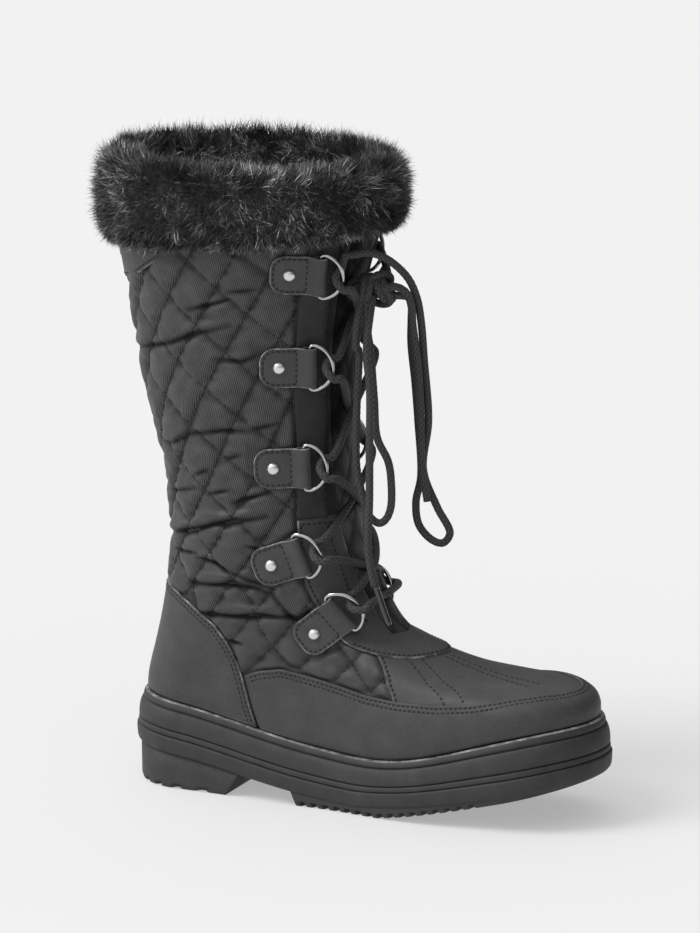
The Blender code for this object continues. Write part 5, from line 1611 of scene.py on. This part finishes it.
def round_bow(tab, low, high):
    """Lace that comes over the bow of a ring, down through it and back under it."""
    bow_a = TAB_FOLD + RING_REACH * math.cos(tab.tilt)
    bow_h = tab.lift + TAB_THICK + EYE_RADIUS + RING_REACH * math.sin(tab.tilt)
    reach = RING_TUBE + LACE / 2 + BOW_CLEAR
    path = [tab.point(bow_a + BOW_PAST, low, bow_h + reach * 0.8)]
    for k, angle in enumerate((90, 135, 180, 225, 270)):
        turn, across = math.radians(angle), low + (high - low) * k / 4
        path.append(tab.point(bow_a + reach * math.cos(turn), across, bow_h + reach * math.sin(turn)))
    path.append(tab.point(bow_a + BOW_PAST, high, bow_h - reach))
    return path


# The lace pulled tight on the soft tongue: height of its middle where it crosses, place of its lowest bar.
CROSS_OVER, CROSS_UNDER = 1.4, -1.6
LOW_BAR = (115.2, 117.0)


def lace_way(word):
    """Points of one strand, which zigzags up the rings and crosses in front of the tongue."""
    sign, front = (-1.0, CROSS_OVER) if word == "lateral" else (1.0, CROSS_UNDER)
    path = [np.array([LOW_BAR[0] - back, sign * across, LOW_BAR[1]])
            for back, across in ((0.0, 0.3), (0.6, 5.0))]
    for step in range(len(TABS)):
        side = ("lateral", "medial")[(step + (word == "medial")) % 2]
        loop = round_bow(TAB_MAP[side, len(TABS) - 1 - step], LACE_LOW, LACE_HIGH)
        if side == "medial":
            loop = loop[1:-1]
        if step:
            middle = 0.5 * (path[-1] + loop[0])
            row = row_where(np.array(0.5), lambda p: p[..., 2] - middle[2], 0.0, TOP_ROW)
            path.append(skin(np.array(0.5), row, front))
        path += loop
    if word == "lateral":
        first, second = (np.array(p, float) for p in BOW["lace_loop_b"][:2])
        path[-1] = np.array(LOOP_FROM)
        path += [first - (second - first) * 0.5, first]
    else:
        path.append(np.array(KNOT_MIDDLE) + (4.0, 10.0, 0.0))
        path.append(np.array(KNOT_MIDDLE) + (0.0, 4.0, 0.0))
    return path


def lace_strands():
    for word, _ in SIDES:
        braid(f"laced_{word}", lace_way(word), (f"lace_strand_{word}",))


# Knot: middle, half length along the view's width, half height, half depth.
KNOT_MIDDLE, KNOT_LONG, KNOT_TALL, KNOT_DEEP = (110.0, -8.0, 290.0), 4.6, 3.2, 3.8
KNOT_WAY = (0.9135, 0.4067, 0.0)
# Turns of lace round the knot: middle and length along it, number, half height, half depth, lean.
KNOT_WRAPS = ((-3.5, 8.0, 2.2, 7.0, 6.6, 0.35), (6.5, 7.0, 1.8, 5.6, 6.0, -0.35))


def knot_axes():
    return np.array(KNOT_WAY), np.array((KNOT_WAY[1], -KNOT_WAY[0], 0.0)), np.array((0.0, 0.0, 1.0))


def knot_line(angle):
    way, side, rise = knot_axes()
    long = (np.cos(angle) - 2 * np.cos(2 * angle)) * KNOT_LONG
    tall = (np.sin(angle) + 2 * np.sin(2 * angle)) * KNOT_TALL
    return (np.array(KNOT_MIDDLE) + long[:, None] * way + tall[:, None] * rise
            + (KNOT_DEEP * np.sin(3 * angle))[:, None] * side)


def knot_wrap(middle, length, number, tall, deep, lean):
    """Turns of lace round a part of the knot."""
    way, side, rise = knot_axes()
    share = np.linspace(-0.5, 0.5, 40)[:, None]
    angle = 2 * math.pi * number * share
    turns = np.cos(angle) * tall * (rise + lean * way) + np.sin(angle) * deep * side
    return np.array(KNOT_MIDDLE) + (middle + length * share) * way + turns


# Ends of the hard tip: its radius as a share of its width.
TIP_FIRST, TIP_LAST = 0.54, np.array([0.49, 0.45, 0.36])


def lace_bow():
    braid("bow_knot", knot_line(np.linspace(0, 2 * math.pi, 48, endpoint=False)), ("lace_knot",), closed=True)
    for k, row in enumerate(KNOT_WRAPS):
        braid(f"bow_wrap_{k + 1}", knot_wrap(*row), ())
    made = {name: braid(name.replace("lace_", "bow_"), line, (name,)) for name, line in BOW.items()}
    tip = spline(AGLET_LINE, step=0.8)
    size = np.full((len(tip), 1), AGLET_WIDE / 2)
    size[:2, 0], size[-3:, 0] = AGLET_WIDE * TIP_FIRST, AGLET_WIDE * TIP_LAST
    points, faces = tube(tip, size, 18)
    aglet = make("lace_tip", points, faces, ("tip",), ("aglet_a",), weld=True)


FLOOR_HALF = 12.0
# Light: the way to the key, its power and spread; the sky's share of that way and its strength.
KEY_WAY, KEY_POWER, KEY_SPREAD = (-0.58, -0.45, 0.9), 1.8, 30.0
SKY = (-0.3, 1.0, 0.06, 1.15)
# Camera: angles round and over the aim, distance in metres, lens and sensor, the aim.
YAW, PITCH, DISTANCE, LENS, SENSOR = 24.0, 14.0, 5.0, 351.0, 36.0
AIM = (92.6, 0.0, 186.7)


def studio():
    mesh = bpy.data.meshes.new("studio_floor")
    corners = [(x * FLOOR_HALF, y * FLOOR_HALF, 0) for x, y in ((-1, -1), (1, -1), (1, 1), (-1, 1))]
    mesh.from_pydata(corners, [], [(0, 1, 2, 3)])
    mesh.materials.append(LOOKS["floor"])
    floor = bpy.data.objects.new("studio_floor", mesh)
    bpy.context.scene.collection.objects.link(floor)
    world = bpy.data.worlds.new("studio_light")
    world.use_nodes = True
    nodes, links = world.node_tree.nodes, world.node_tree.links
    facing = nodes.new("ShaderNodeVectorMath")
    facing.operation = "DOT_PRODUCT"
    facing.inputs[1].default_value = Vector(KEY_WAY).normalized()
    links.new(nodes.new("ShaderNodeTexCoord").outputs["Generated"], facing.inputs[0])
    band = nodes.new("ShaderNodeMapRange")
    band.interpolation_type = "SMOOTHSTEP"
    for socket, value in zip(("From Min", "From Max", "To Min", "To Max"), SKY):
        band.inputs[socket].default_value = value
    links.new(facing.outputs["Value"], band.inputs["Value"])
    links.new(band.outputs["Result"], nodes["Background"].inputs["Strength"])
    nodes["Background"].inputs["Color"].default_value = (1.0, 1.0, 1.0, 1.0)
    bpy.context.scene.world = world
    lamp = bpy.data.lights.new("key", "SUN")
    lamp.energy, lamp.angle = KEY_POWER, math.radians(KEY_SPREAD)
    made = bpy.data.objects.new("key", lamp)
    made.rotation_euler = Vector(KEY_WAY).to_track_quat("Z", "Y").to_euler()
    bpy.context.scene.collection.objects.link(made)
    bpy.context.scene.view_settings.view_transform = "Standard"


def camera():
    yaw, pitch, aim = math.radians(YAW), math.radians(PITCH), Vector(AIM) * MM
    way = Vector((math.sin(yaw) * math.cos(pitch), -math.cos(yaw) * math.cos(pitch), math.sin(pitch)))
    lens = bpy.data.cameras.new("camera")
    lens.sensor_fit, lens.sensor_height, lens.lens, lens.clip_end = "VERTICAL", SENSOR, LENS, 100.0
    made = bpy.data.objects.new("camera", lens)
    made.location = aim + way * DISTANCE
    made.rotation_euler = way.to_track_quat("Z", "Y").to_euler()
    bpy.context.scene.collection.objects.link(made)
    bpy.context.scene.camera = made


camera()
studio()
lace_bow()
lace_strands()
upper_shell()
quilt_stitches()
counter()
mudguard()
vamp()
throat_patch()
stays()
back_patch()
tongue()
outsole()
heel_block()
fore_block()
insole()
for (word, k), tab in TAB_MAP.items():
    ring_tab(word, k, tab)
    rivet(word, k, tab)
    d_ring(word, k, tab)
sewing("thread_stitches")
fur_cuff()
